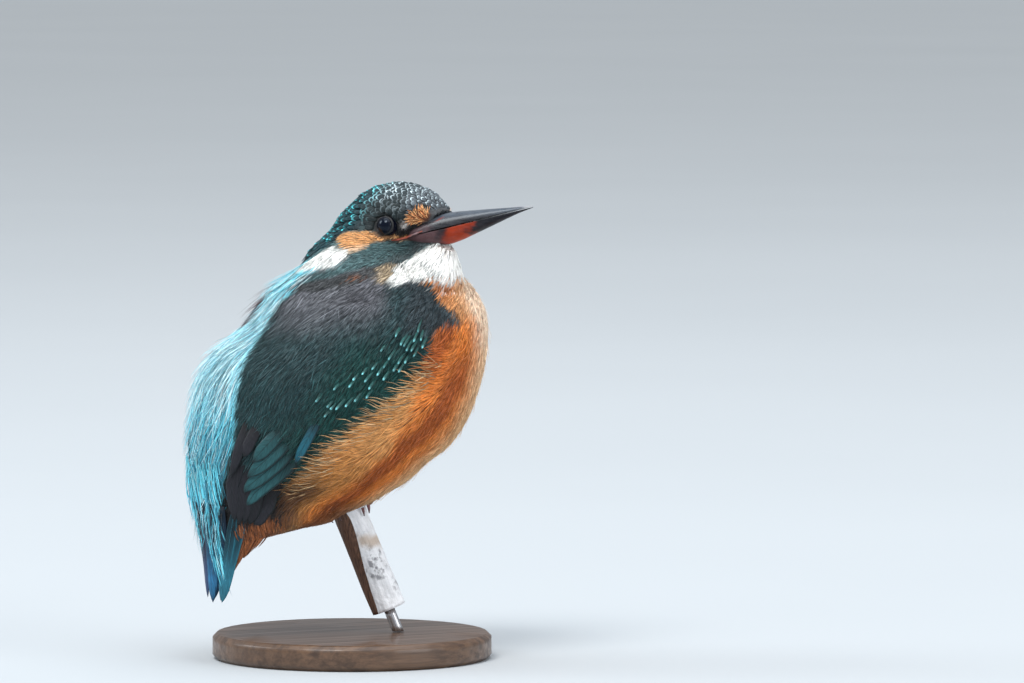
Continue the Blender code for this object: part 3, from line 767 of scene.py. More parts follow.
def reed_finish():
    """Dry brown reed, limed white down the side that the bird fouls."""
    m = Finish("dry reed with droppings")
    place = m.place()
    lean = m.scaled(place, (1, 1, 1), (REED_LEAN * math.sin(REED_SWING),
                                       REED_LEAN * math.cos(REED_SWING), 0))
    white, worn, tan = m.add("SeparateColor", {0: m.laid("Liming")[0]}).outputs
    out = m.use(FIBRES, vector=lean, fine=2600.0, long=90.0, light=(0.19, 0.092, 0.055, 1),
                dark=(0.055, 0.028, 0.018, 1))
    patches = m.noise(m.scaled(lean, (420, 420, 130)), 1.0, 5.0, 0.65)
    splash = m.ramp(m.plus(white, m.times(patches, 0.5)), 0.66, 0.80)
    chalk = m.noise(place, 520.0, 4.0)
    lime = m.blend(m.ramp(patches, 0.3, 0.6), (0.74, 0.75, 0.78, 1), (0.93, 0.94, 0.97, 1))
    lime = m.blend(m.times(worn, m.ramp(chalk, 0.44, 0.60)), lime, (0.30, 0.30, 0.32, 1))
    lime = m.blend(tan, lime, (0.62, 0.52, 0.44, 1))
    thick = m.times(splash, m.ramp(chalk, 0.3, 0.7, 0.6, 1.4))
    return m.surface(base_color=m.blend(splash, out["Color"], lime),
                     roughness=m.ramp(patches, 0.3, 0.7, 0.6, 0.85),
                     normal=m.bump(m.plus(m.times(out["Height"], 0.5), thick), 0.6, 0.0003))


def base_finish():
    """Oiled walnut, turned on a lathe."""
    m = Finish("turned walnut")
    grain = m.scaled(m.place(), (1, 1, 1), (0, math.pi / 2, math.radians(18)))
    out = m.use(FIBRES, vector=grain, fine=520.0, long=14.0, light=(0.150, 0.082, 0.045, 1),
                dark=(0.050, 0.026, 0.015, 1))
    wave = m.ramp(m.noise(m.scaled(grain, (60, 60, 6)), 1.0, 3.0), 0.4, 0.65, 0.0, 0.5)
    return m.surface(base_color=m.blend(wave, out["Color"], (0.095, 0.050, 0.027, 1)),
                     roughness=m.ramp(out["Height"], 0.3, 0.7, 0.5, 0.34), coat_weight=0.25,
                     coat_roughness=0.25, normal=m.bump(out["Height"], 0.25, 0.0002))


def rod_finish():
    m = Finish("brushed steel rod")
    brush = m.noise(m.scaled(m.place(), (9000, 9000, 120)), 1.0, 3.0)
    return m.surface(base_color=m.blend(brush, (0.42, 0.42, 0.44, 1), (0.66, 0.66, 0.68, 1)),
                     metallic=1.0, roughness=m.ramp(brush, 0.3, 0.7, 0.42, 0.26),
                     normal=m.bump(brush, 0.2, 0.00005))


# ---------------------------------------------------------------- bill
BILL_BLACK, BILL_RED = (0.015, 0.015, 0.020), (0.40, 0.040, 0.009)
# the ridge and tip colours are painted highlights on the dark horn
BILL_EDGE, BILL_RIDGE_HIGHLIGHT, BILL_TIP_HIGHLIGHT = (0.115, 0.058, 0.062), (0.12, 0.15, 0.19), (0.45, 0.45, 0.47)
BILL_ROOT, NOSTRIL_RED = (0.12, 0.070, 0.078), (0.25, 0.03, 0.02)
NOSTRIL = ((14.0, -1.15), (15.4, -0.4), (17.0, -0.1), (15.6, -0.85))


def bill_colour(points, lower):
    q = head_space(points)
    f, h = q[:, 0], q[:, 2]
    wander = drift(points, 2.2, 61)
    if lower:
        red = smooth(12.3, 16.0, f + 0.6 * wander - 1.2 * (h + 7.3)) \
            * fall(24.5, 29.0, f + 1.5 * wander + 3.0 * smooth(-3.5, -6, h))
        return layered(BILL_BLACK, len(q), (BILL_RED, red),
                       (BILL_EDGE, fall(13, 17, f + wander) * (1 - red)))
    # a band along the ridge of the upper bill: painted highlight
    top = smooth(-1.8, 0.2, h - np.interp(f, (3, 16, 45), (0.0, 0.4, -2.8)))
    return layered(BILL_BLACK, len(q), (BILL_RIDGE_HIGHLIGHT, 0.6 * top),
                   (BILL_ROOT, fall(9, 14.5, f + wander) * fall(-2.2, -0.8, h)),
                   (NOSTRIL_RED, inside(NOSTRIL, f, h, 0.16)),
                   # painted highlight at the very tip
                   (BILL_TIP_HIGHLIGHT, smooth(43.0, 45.0, f)))


def taper_root(o, lower):
    """Narrows the root of the bill, where the feathers close over it."""
    q = head_space(points_of(o))
    f = q[:, 0]
    gape = np.interp(f, (3.2, 45.5), (-3.6, -2.8))
    if lower:
        keep = np.interp(f, (3, 5, 8, 11, 15, 19), (0.28, 0.50, 0.74, 0.86, 0.96, 1.0))
        q[:, 2] = gape + (q[:, 2] - gape) * keep
    q[:, 1] *= np.interp(f, (3, 6, 10), (0.88, 0.98, 1.0))
    q[:, 0] = 3.2 + (f - 3.2) * 1.034
    put_points(o, from_head(q))


HORN = horn_finish("polished bill horn", 0.24, 0.35)
RED_HORN = horn_finish("red bill horn", 0.40, 0.04, 0.15)
horns = []
for node, lower, slot_name, finish in (("bill_upper", False, "bill_dark", HORN),
                                       ("bill_lower", True, "bill_red", RED_HORN)):
    o = refined((node,), node + "_horn", levels=3, sharp=40)
    taper_root(o, lower)
    paint(o, "Tint", bill_colour(points_of(o), lower))
    horns.append(placed(o, slot_name, node, finish=finish))

# the soft red corner of the mouth, a tapered fold on each side: forward, up, out
GAPE = np.array(((1.0, -3.75, 8.35), (3.1, -3.95, 6.95), (5.0, -3.80, 5.95), (7.5, -3.35, 5.50),
                 (10.2, -2.90, 5.05)))
GAPE_RED, GAPE_PALE, GAPE_DARK = (0.36, 0.075, 0.040), (0.30, 0.19, 0.20), (0.07, 0.030, 0.030)
MOUTH = bare_skin_finish("soft gape skin", None, 4800.0, 1100.0, 0.34, specular_ior_level=0.4)
for label, hand in HANDS:
    deselect()
    bpy.ops.mesh.primitive_uv_sphere_add(segments=20, ring_count=30, radius=MM)
    fold = bpy.context.object
    fold.name = "gape_" + label
    with editing():
        bpy.ops.transform.resize(value=(0.42, 0.50, 1))
    bpy.ops.object.shade_smooth()
    co = points_of(fold)
    along_fold = (1 - co[:, 2]) / 2
    ahead, up, out = (np.interp(along_fold, np.linspace(0, 1, len(GAPE)), GAPE[:, k])
                      for k in range(3))
    q = np.stack((ahead, hand * out + co[:, 1], up + co[:, 0]), 1)
    q[:, 2] += 0.05 * np.sin(along_fold * 40) * np.sign(co[:, 0])
    pale = smooth(5.5, 7.5, q[:, 0]) * smooth(10.0, 8.5, q[:, 0])
    paint(fold, "Tint", layered(GAPE_RED, len(q), (GAPE_PALE, pale),
                                (GAPE_DARK, smooth(0.0, -0.3, co[:, 0]))))
    put_points(fold, from_head(q))
    horns.append(placed(fold, "bill_red", finish=MOUTH))

# ---------------------------------------------------------------- skin
FLESH = ("trunk", "neck", "head", "wing_left", "wing_right")
COAT_DEPTH, SWELL, VOXEL = 0.95, 0.3, 0.8
BILL_STUB = 13.5   # how far forward the skin runs over the root of the bill
HEADROOM = 4.5     # how far the way out from a feather's root has to be free
BAKE_PATCH = 0.003


def keep_largest(o):
    """Deletes every closed shell of a mesh but the largest."""
    body = bmesh.new()
    body.from_mesh(o.data)
    seen, islands = set(), []
    for start in body.verts:
        if start.index in seen:
            continue
        stack, island = [start], []
        seen.add(start.index)
        while stack:
            v = stack.pop()
            island.append(v)
            for e in v.link_edges:
                w = e.other_vert(v)
                if w.index not in seen:
                    seen.add(w.index)
                    stack.append(w)
        islands.append(island)
    islands.sort(key=len)
    bmesh.ops.delete(body, geom=[v for part in islands[:-1] for v in part], context="VERTS")
    body.to_mesh(o.data)
    body.free()


def make_skin():
    """One closed skin over all the flesh, drawn in by the depth of the coat."""
    o = copy_of(FLESH + ("eye_left", "eye_right"), "skin")
    stub = copy_of(("bill_upper", "bill_lower"), "bill_root")
    with editing():
        bpy.ops.mesh.bisect(plane_co=(HEAD @ Vector((BILL_STUB, 0, 0))) * MM,
                            plane_no=HEAD.to_3x3() @ Vector((1, 0, 0)), use_fill=True,
                            clear_outer=True)
    pick(o, stub)
    bpy.ops.object.join()
    apply_modifier(o, "DISPLACE", strength=SWELL * MM, mid_level=0.0)
    apply_modifier(o, "REMESH", mode="VOXEL", voxel_size=VOXEL * MM)
    apply_modifier(o, "SMOOTH", factor=0.5, iterations=5)
    apply_modifier(o, "DISPLACE", strength=-(SWELL + COAT_DEPTH) * MM, mid_level=0.0)
    keep_largest(o)
    # the belly's front, the back and the nape lie deeper, so that the coat keeps the outline
    co = points_of(o)
    q = head_space(co)
    ring, turn = trunk_chart(co)
    dent = BELLY_DENT * smooth(66, 58, ring) * smooth(46, 54, ring) * fall(48, 78, turn)
    dent += back_inset(ring, turn, co[:, 1] > 0)
    dent += NAPE_DENT * smooth(-8, -14, q[:, 0]) * smooth(-7, -3, q[:, 2])
    put_points(o, co - read(o.data.vertices, "normal", 3) * dent[:, None])
    apply_modifier(o, "SMOOTH", factor=0.5, iterations=2)
    pick(o)
    with editing():
        bpy.ops.uv.smart_project(angle_limit=math.radians(70), island_margin=0.002)
    bpy.ops.object.shade_smooth()
    o.data.uv_layers[0].name = "OFBake"
    paint(o, "Tint", coat_colour(points_of(o)))
    return placed(o, "plumage_body", *FLESH, finish=skin_finish())


skin = make_skin()
skin.data.calc_loop_triangles()
SKIN_POINTS = points_of(skin)
SKIN_TRIS = read(skin.data.loop_triangles, "vertices", 3, np.int32)
SKIN_LOOPS = read(skin.data.loop_triangles, "loops", 3, np.int32)
SKIN_NORMALS = read(skin.data.vertices, "normal", 3).astype(float)
SKIN_UV = read(skin.data.uv_layers["OFBake"].uv, "vector", 2).astype(float)
TRI_NORMALS = unit(SKIN_NORMALS[SKIN_TRIS].mean(1))
SKIN_TREE = BVHTree.FromPolygons(SKIN_POINTS.tolist(), SKIN_TRIS.tolist())


def tree_of(objects):
    verts, faces = [], []
    for mesh in (o.data for o in objects):
        start = len(verts)
        verts += [tuple(c / MM for c in v.co) for v in mesh.vertices]
        faces += [[start + i for i in p.vertices] for p in mesh.polygons]
    return BVHTree.FromPolygons(verts, faces)


BLOCKERS = tree_of(horns + [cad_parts[n] for n in ("eye_left", "eye_right", "perch_reed")])


def one_per_cell(key):
    """The first index in each cell."""
    code = (key[:, 0] * 73856093) ^ (key[:, 1] * 19349663) ^ (key[:, 2] * 83492791)
    return np.unique(code, return_index=True)[1]


def scatter(cell, wanted, seed):
    """Evenly spread roots on the skin, one to a cell, kept where wanted says."""
    draw = np.random.default_rng(seed)
    a, b, c = (SKIN_POINTS[SKIN_TRIS[:, k]] for k in range(3))
    area = np.linalg.norm(np.cross(b - a, c - a), axis=1) / 2
    area = area * (wanted((a + b + c) / 3) > 0.02)
    total = int(area.sum() / (cell * cell) * 7)
    tri = draw.choice(len(area), total, p=area / area.sum())
    r1, r2 = np.sqrt(draw.random(total)), draw.random(total)
    w = np.stack((1 - r1, r1 * (1 - r2), r1 * r2), 1)
    points = np.einsum("nk,nkd->nd", w, SKIN_POINTS[SKIN_TRIS[tri]])
    keep = draw.random(total) < wanted(points)
    tri, w, points = tri[keep], w[keep], points[keep]
    shift = draw.random(3) * cell
    key = np.floor((points + shift) / cell).astype(np.int64)
    centre = (key + 0.5) * cell - shift
    order = np.argsort(np.linalg.norm(points - centre, axis=1), kind="stable")
    chosen = np.sort(order[one_per_cell(key[order])])
    tri, w, points = tri[chosen], w[chosen], points[chosen]
    normals = unit(np.einsum("nk,nkd->nd", w, SKIN_NORMALS[SKIN_TRIS[tri]]))
    uv = np.einsum("nk,nkd->nd", w, SKIN_UV[SKIN_LOOPS[tri]])
    free = np.array([BLOCKERS.ray_cast(p, n, HEADROOM)[0] is None
                     for p, n in zip(points.tolist(), normals.tolist())], bool)
    return {"at": points[free], "normal": normals[free], "uv": uv[free]}


def settle(points):
    """The nearest places on the skin, and which way it faces there."""
    found = [SKIN_TREE.find_nearest(p) for p in points.tolist()]
    spots = np.array([f[0][:] for f in found])
    return spots, TRI_NORMALS[np.array([f[2] for f in found])]


# ---------------------------------------------------------------- feathers
def feather_faces(across, stations):
    """Faces of one closed feather: a bowed top, a flat back, a blunt root and a pointed tip."""
    tip = across * stations
    faces = []
    for k in range(stations - 1):
        a, b = k * across, (k + 1) * across
        for j in range(across - 1):
            faces.append((a + j, a + j + 1, b + j + 1, b + j))
        faces.append((a + across - 1, a, b, b + across - 1))
    a = (stations - 1) * across
    for j in range(across - 1):
        faces.append((a + j, a + j + 1, tip))
    faces.append((a + across - 1, a, tip))
    faces.append(tuple(reversed(range(across))))
    return faces


class Coat:
    """Feathers gathered into one joined mesh."""

    def __init__(self, name, slot_name, finish):
        self.name, self.slot_name, self.finish = name, slot_name, finish
        self.verts, self.loops, self.sizes = [], [], []
        self.vane, self.bake, self.tint, self.fleck = [], [], [], []
        self.count = 0

    def lay(self, line, normals, side, widths, bow, uv, tints, chance, across, fleck, beats):
        """Lays feathers along lines of points, each ending at its tip; widths and bow are
        for every station but the tip."""
        n, stations = line.shape[0], line.shape[1] - 1
        u = np.linspace(-1, 1, across)
        half, rise = widths[..., None, None] / 2, bow[..., None, None]
        body = (line[:, :-1, None] + side[:, :-1, None] * half * u[None, None, :, None]
                + normals[:, :-1, None] * rise * (1 - u * u)[None, None, :, None])
        verts = np.concatenate((body.reshape(n, -1, 3), line[:, -1:, :]), 1)
        per = verts.shape[1]
        faces = feather_faces(across, stations)
        base = self.count + np.arange(n) * per
        self.loops.append((base[:, None] + np.concatenate(faces)[None]).ravel())
        self.sizes.append(np.tile([len(f) for f in faces], n))
        spot = np.stack((np.tile((u + 1) / 2, stations), np.repeat(beats[:-1], across)), 1)
        spot = np.vstack((spot, (0.5, 1.0)))
        self.vane.append(np.tile(spot, (n, 1)))
        self.bake.append((uv[:, None] + (spot - 0.5)[None] * BAKE_PATCH).reshape(-1, 2))
        colour = np.concatenate((np.repeat(tints[:, :-1], across, 1), tints[:, -1:]), 1)
        self.tint.append(np.hstack((colour.reshape(-1, 3), np.repeat(chance, per)[:, None])))
        if fleck is not None:
            self.fleck.append(np.repeat(fleck, per, 0))
        self.verts.append(verts.reshape(-1, 3))
        self.count += n * per

    def finish_piece(self, *replaced):
        verts, loops, sizes, tint = (np.concatenate(rows) for rows in
                                     (self.verts, self.loops, self.sizes, self.tint))
        mesh = bpy.data.meshes.new(self.name)
        mesh.vertices.add(len(verts))
        mesh.vertices.foreach_set("co", (verts * MM).astype(np.float32).ravel())
        mesh.loops.add(len(loops))
        mesh.loops.foreach_set("vertex_index", loops.astype(np.int32))
        mesh.polygons.add(len(sizes))
        starts = np.concatenate(([0], np.cumsum(sizes)[:-1])).astype(np.int32)
        mesh.polygons.foreach_set("loop_start", starts)
        mesh.update(calc_edges=True)
        for label, spots in (("Vane", self.vane), ("OFBake", self.bake)):
            values = np.clip(np.concatenate(spots), 0.0, 1.0)[loops]
            layer = mesh.uv_layers.new(name=label)
            layer.uv.foreach_set("vector", values.astype(np.float32).ravel())
        mesh.polygons.foreach_set("use_smooth", np.ones(len(sizes), bool))
        o = bpy.data.objects.new(self.name, mesh)
        bpy.context.scene.collection.objects.link(o)
        paint(o, "Tint", tint[:, :3], tint[:, 3])
        if self.fleck:
            fleck = np.concatenate(self.fleck)
            paint(o, "Fleck", fleck[:, :3], fleck[:, 3])
        placed(o, self.slot_name, *replaced, finish=self.finish)


def turned(direction, normals, angle):
    """A direction in the surface, turned by an angle about the normal."""
    return direction * np.cos(angle)[:, None] + np.cross(normals, direction) \
        * np.sin(angle)[:, None]


LOCK_APART = 2.4   # how far apart the locks are that feathers draw together in


def drawn_together(line, clump, t, seed):
    """Draws feathers towards a leader near each of them, most at their tips."""
    p = line[:, 0]
    leaders = one_per_cell(np.floor((p + seed * 0.37) / LOCK_APART).astype(np.int64))
    tree = KDTree(len(leaders))
    for i, c in enumerate(p[leaders].tolist()):
        tree.insert(c, i)
    tree.balance()
    near = np.array([tree.find(c)[1] for c in p.tolist()])
    share = t[None, :, None] ** 1.5 * clump
    apart = (p - p[leaders][near])[:, None] * 0.35
    return line * (1 - share) + (line[leaders][near] + apart) * share


# how wide a feather is along its length: a loose lock, and a firm vane with a round tip
LOCK_SHAPE = ((0, 0.25, 0.6, 1), (0.65, 1.0, 0.8, 0.1))
VANE_SHAPE = ((0, 0.3, 0.6, 0.8, 0.93, 1), (0.5, 0.85, 1.0, 0.92, 0.6, 0.3))


def grow(coat, roots, length, width, across=3, stations=3, rise=(0.0, 0.7), stray=0.12,
         bow=0.22, shape=LOCK_SHAPE, clump=0.0, cling=1.0, root_dark=0.5, vary=0.16, sweep=None,
         colour=None, fleck=None, seed=1, tip_light=1.12, at=0.7, beats=None):
    """Lays feathers from their roots along the lie of the coat."""
    draw = np.random.default_rng(seed)
    p, n = roots["at"], roots["normal"]
    count = len(p)
    length = np.broadcast_to(length, (count,)) * draw.uniform(0.78, 1.22, count)
    width = np.broadcast_to(width, (count,)) * draw.uniform(0.75, 1.25, count)
    angle = draw.normal(0, stray, count) + 1.5 * stray * drift(p, 5.0, seed + 50)
    t = np.linspace(0, 1, stations + 1) if beats is None else np.array(beats)
    line, facing = [p], [n]
    q, m = p, n
    for step in np.diff(t):
        d = lie(q, m)
        if sweep is not None:
            d = along(m, d + sweep(q))
        ahead = q + turned(d, m, angle) * (length * step)[:, None]
        spot, m = settle(ahead)
        q = spot * cling + ahead * (1 - cling)
        line.append(q)
        facing.append(m)
    line, facing = np.stack(line, 1), np.stack(facing, 1)
    if clump > 0:
        line = drawn_together(line, clump, t, seed)
    top = draw.uniform(0.55, 1.3, count)[:, None] * rise[1]
    lift = rise[0] + (top - rise[0]) * t[None] ** 1.3
    lift = lift - 0.25 * (t[None] == 0)
    line = line + facing * lift[..., None]
    side = unit(np.cross(facing, unit(np.gradient(line, axis=1))))
    widths = width[:, None] * np.interp(t[:-1], *shape)[None]
    # colour comes from where the open end of the feather lies
    low = max(0, int(np.searchsorted(t, at)) - 1)
    share = (at - t[low]) / (t[low + 1] - t[low])
    seen = line[:, low] + (line[:, low + 1] - line[:, low]) * share
    base = coat_colour(seen) if colour is None else colour(seen, draw)
    base = base * (1 + vary * draw.normal(0, 1, (count, 1))).clip(0.45, 1.7)
    # feathers grow darker towards the root: their own darker bases and painted shade under the
    # feathers that lie over them
    fade = np.interp(t, (0, 0.5, 1), (root_dark, 1.0, tip_light))
    marks = None if fleck is None else fleck(seen, draw)
    coat.lay(line, facing, side, widths, widths * bow, roots["uv"],
             base[:, None] * fade[None, :, None], draw.random(count), across, marks, t)


def part_of(roots, keep):
    return {k: v[keep] for k, v in roots.items()}


def coat_piece(name, slot_name, finish, *beds):
    """One joined piece, grown bed by bed: roots, length, width and how they lie."""
    coat = Coat("plumage_" + name, slot_name, finish)
    for roots, length, width, manner in beds:
        grow(coat, roots, length, width, **manner)
    coat.finish_piece()


DOWN = plumage_finish("soft body plumage", 3.0, 1.2, 0.30, 0.10, 0.4, shine=0.25)
DUSK = plumage_finish("dark back plumage", 3.0, 1.2, 0.30, 0.08, 0.4, shine=0.25)
SNOW = plumage_finish("white throat plumage", 2.0, 1.0, 0.08, 0.35, 0.25)
SILK = plumage_finish("silky back plumage", 3.0, 0.9, 0.35, 0.15, 0.5)
VANES = plumage_finish("barred head plumage", 9.0, 2.0, 0.40, 0.04, 0.4, flecked=True, shine=0.2)
QUILLS = quill_finish()

# what is rooted at each place on the skin
(BARE, UNDERPARTS, MANTLE, BACK, CAP, FACE, CHIN, WING_COVERTS, UNDER_QUILLS, LORE,
 NECK_SIDE) = range(11)


LOWEST_ROOT = 28.5
SPOT_ROOT = np.array((12.0, 0, -1.6))   # the lowest corner of the spot before the eye


def roots_zone(points):
    """Which kind of feather is rooted at each point."""
    m = masks(points)
    ring, turn, h = m["ring"], m["turn"], m["h"]
    zone = np.full(len(points), UNDERPARTS)
    dark = m["dark"] > 0.5
    zone[dark] = MANTLE
    lobe = np.interp(turn, (86, 100, 114, 120, 125, 131, 140, 152, 160),
                     (92, 86, 77.5, 74, 69, 65.5, 64, 64.5, 40))
    zone[dark & (ring < lobe) & (turn < 152)] = WING_COVERTS
    quill = dark & (ring < np.interp(turn, (104, 112, 125, 140, 152), (50, 58, 61, 60, 60)))
    zone[quill & (turn < 150)] = UNDER_QUILLS
    zone[m["stripe"] > 0.5] = BACK
    egg = np.stack((m["f"], m["s"], h), 1)
    face = (from_middle(egg, 25, 17, 16) < 1.25) & (h > -9) & ~(m["throat"] > 0.5)
    for name in ("malar", "soot", "neck_patch", "tuft", "ear", "lores", "eye_front"):
        face |= m[name] > 0.5
    zone[face] = FACE
    zone[m["neck_patch"] > 0.5] = NECK_SIDE
    zone[m["throat"] > 0.4] = CHIN
    zone[m["cap"] > 0.5] = CAP
    zone[m["loral"] > 0.4] = LORE
    zone[(from_eye(m["f"], h) < 2.6) & (np.abs(m["s"]) > 5)] = BARE
    zone[(points[:, 2] < LOWEST_ROOT) | ((turn > 119) & (ring < 38.5))] = BARE
    return zone


def brim_share(points):
    """Where the flank plumes that lap over the wing are rooted."""
    ring, turn = trunk_chart(points)
    past = turn - brim_turn(ring)
    return smooth(-17, -13, past) * fall(-8, -5, past) * ((ring > 47) & (ring < 84))


def wanted(*zones):
    return lambda points: np.isin(roots_zone(points), zones).astype(float)


def fringe_colour(seen, draw):
    """Loose flank plumes: gold to rust, some of them smoked by the wing under them."""
    shade = draw.random((len(seen), 1))
    warm = np.array(PLUME_GOLD) * (1 - shade) + np.array(PLUME_RUST) * shade
    return np.where(draw.random((len(seen), 1)) < 0.25, warm * SMOKED, warm)


def stripe_colour(seen, draw):
    """Strands of the back stripe: each its own blue, many of them painted nearly white as
    highlights.
    """
    c = coat_colour(seen)
    m = masks(seen)
    chance = draw.random(len(seen)) + 0.22 * smooth(46, 66, m["ring"]) - 0.08
    c = mix(c, ICE_HIGHLIGHT, 0.85 * m["stripe"] * smooth(0.60, 0.92, chance))
    c = mix(c, DARK_BARB, 0.85 * m["stripe"] * smooth(0.36, 0.12, chance))
    return mix(c, BACK_SHADE, 0.9 * smooth(0.04, 0.02, chance))


def wisp_colour(seen, draw):
    """Loose back filaments, some paler than the plumage they lie on."""
    return coat_colour(seen) * (0.4 + 1.7 * draw.random((len(seen), 1)) ** 2)


def bristle_colour(seen, draw):
    """Bristles before the eye: rust to pale peach."""
    return layered(BRISTLE_RUST, len(seen), (BRISTLE_PEACH, draw.random(len(seen)) ** 1.3))


def over_edge(points):
    """Keeps the flank plumes running up and back past the edge of the wing."""
    ring, turn = trunk_chart(points)
    return 2.4 * smooth(-6, -2, turn - brim_turn(ring))[:, None] * np.array((-1.0, 0, 0.34))


def fan(points):
    """Spreads the bristles before the eye upward and back from their lowest corner."""
    away = head_space(points) - SPOT_ROOT
    away[:, 1] = 0
    return 2.2 * unit(away) @ HEAD_AXES.T


# breast and flanks, a little longer low on the flank and shorter at the belly's foot
under = scatter(0.58, wanted(UNDERPARTS), 11)
ring, turn = trunk_chart(under["at"])
left = under["at"][:, 1] > 0
front = (turn < 56) & (ring > 54)
long = 6.0 + 1.6 * smooth(60, 85, turn) + 1.4 * smooth(60, 45, ring)
long = long * (1 - 0.4 * smooth(49, 45, ring) * fall(50, 75, turn))
by_wing = (turn - brim_turn(ring) > -12) & (ring > 50)
TUFTS = dict(rise=(0.1, 0.65), stray=0.09, clump=0.28, seed=21, root_dark=0.78, vary=0.10)
for label, keep in (("breast_right", front & ~left), ("breast_left", front & left),
                    ("flank_right", ~front & ~left), ("flank_left", ~front & left)):
    beds = [(part_of(under, keep & rows), long[keep & rows], 0.42, dict(TUFTS, at=share))
            for rows, share in ((~by_wing, 0.35), (by_wing, 0.95))]
    coat_piece(label, "plumage_body", DOWN, *(bed for bed in beds if len(bed[1])))

# long loose plumes that curl up over the edge of each wing, and stray ones on the breast
brim = scatter(1.35, brim_share, 18)
loose = scatter(2.6, lambda points: wanted(UNDERPARTS)(points) * (points[:, 2] > 46), 19)
reach = 4.6 + 4.2 * np.random.default_rng(40).random(len(brim["at"]))
coat_piece("flank_fringe", "plumage_body", DOWN,
           (brim, reach, 0.23, dict(
               stations=5, rise=(0.4, 1.9), stray=0.16, clump=0.12, seed=28, root_dark=0.75,
               vary=0.25, tip_light=1.25, colour=fringe_colour, sweep=over_edge)),
           (loose, 7.5, 0.26, dict(
               stations=4, rise=(0.2, 1.5), stray=0.2, seed=29, root_dark=0.8, tip_light=1.25,
               at=0.4)))

mantle = scatter(0.70, wanted(MANTLE, WING_COVERTS, UNDER_QUILLS), 12)
wisps = scatter(1.5, wanted(MANTLE, WING_COVERTS), 38)
for label, hand in HANDS:
    some, airy = (part_of(roots, (roots["at"][:, 1] > 0) == (hand > 0))
                  for roots in (mantle, wisps))
    by_edge = smooth(150, 162, trunk_chart(airy["at"])[1])
    coat_piece("mantle_" + label, "plumage_wing", DUSK,
               (some, 6.6, 0.50, dict(
                   rise=(0.1, 0.6), stray=0.13, clump=0.3, seed=22, root_dark=0.65,
                   tip_light=1.2)),
               (airy, 6.5 + 3 * by_edge, 0.19, dict(
                   stations=4, rise=(0.2, 1.0), stray=0.20, seed=37, root_dark=0.8, vary=0.2,
                   tip_light=1.25, cling=0.95, colour=wisp_colour)))

coat_piece("back_stripe", "plumage_wing", SILK,
           (scatter(0.74, wanted(BACK), 13), 10.5, 0.54, dict(
               stations=4, rise=(0.2, 1.0), stray=0.10, clump=0.35, seed=23, root_dark=0.28,
               vary=0.2, tip_light=1.3, cling=0.9, colour=stripe_colour)),
           (scatter(1.5, wanted(BACK), 20), 13.0, 0.30, dict(
               stations=5, rise=(0.3, 3.0), stray=0.17, cling=0.6, seed=30, root_dark=0.7,
               tip_light=1.25, colour=stripe_colour)))
coat_piece("neck_patch", "plumage_neck", SNOW,
           (scatter(0.56, wanted(NECK_SIDE), 34), 5.6, 0.58, dict(
               rise=(0.1, 0.6), stray=0.08, clump=0.2, seed=35, bow=0.12, root_dark=1.0,
               vary=0.03, tip_light=1.03, at=0.4)))
coat_piece("throat", "plumage_head", SNOW,
           (scatter(0.46, wanted(CHIN), 14), 6.8, 0.68, dict(
               rise=(0.15, 0.6), stray=0.09, clump=0.25, cling=0.7, seed=24, bow=0.12,
               root_dark=1.0, vary=0.03, tip_light=1.02, at=0.3)))

face = scatter(0.50, wanted(FACE), 15)
q = head_space(face["at"])
far = smooth(1.0, 1.6, from_middle(q, 24, 16, 15))
by_eye = smooth(2.8, 7.0, from_eye(q[:, 0], q[:, 2]))
size = (2.3 + 2.2 * far - 0.9 * smooth(6, 12, q[:, 0])) * (0.5 + 0.5 * by_eye)
coat_piece("face", "plumage_head", DOWN,
           (face, size, 0.34 + 0.16 * far, dict(
               rise=(0.05, 0.45), stray=0.12, seed=25, root_dark=0.6, vary=0.20,
               tip_light=1.2)))
coat_piece("loral_spot", "plumage_head", DOWN,
           (scatter(0.46, wanted(LORE), 16), 1.5, 0.23, dict(
               rise=(0.0, 0.8), stray=0.28, seed=26, root_dark=0.16, vary=0.2, tip_light=1.35,
               sweep=fan, colour=bristle_colour)))


def cap_flecks(seen, draw):
    """Pale crescents on the forehead, turquoise drops on the sides and nape."""
    q = head_space(seen)
    f, h, count = q[:, 0], q[:, 2], len(q)
    back = smooth(1, -8, f - 0.35 * (h - 6))[:, None]
    pale = np.array(FLECK_PALE) * draw.uniform(0.5, 1.4, (count, 1))
    blue = np.array(FLECK_BLUE) * draw.uniform(0.3, 1.6, (count, 1))
    shown = draw.uniform(0.55, 1.0, count)
    shown *= np.where(draw.random(count) < 0.30 * back[:, 0], 0.1, 1)
    rim = h - np.interp(f, CAP_EDGE[:, 0], CAP_EDGE[:, 1])
    shown *= np.maximum(smooth(0.6, 2.6, rim), smooth(7, 9, f))
    shown *= 1 - 0.8 * temple_share(f, h)
    return np.hstack((pale * (1 - back) + blue * back, shown[:, None]))


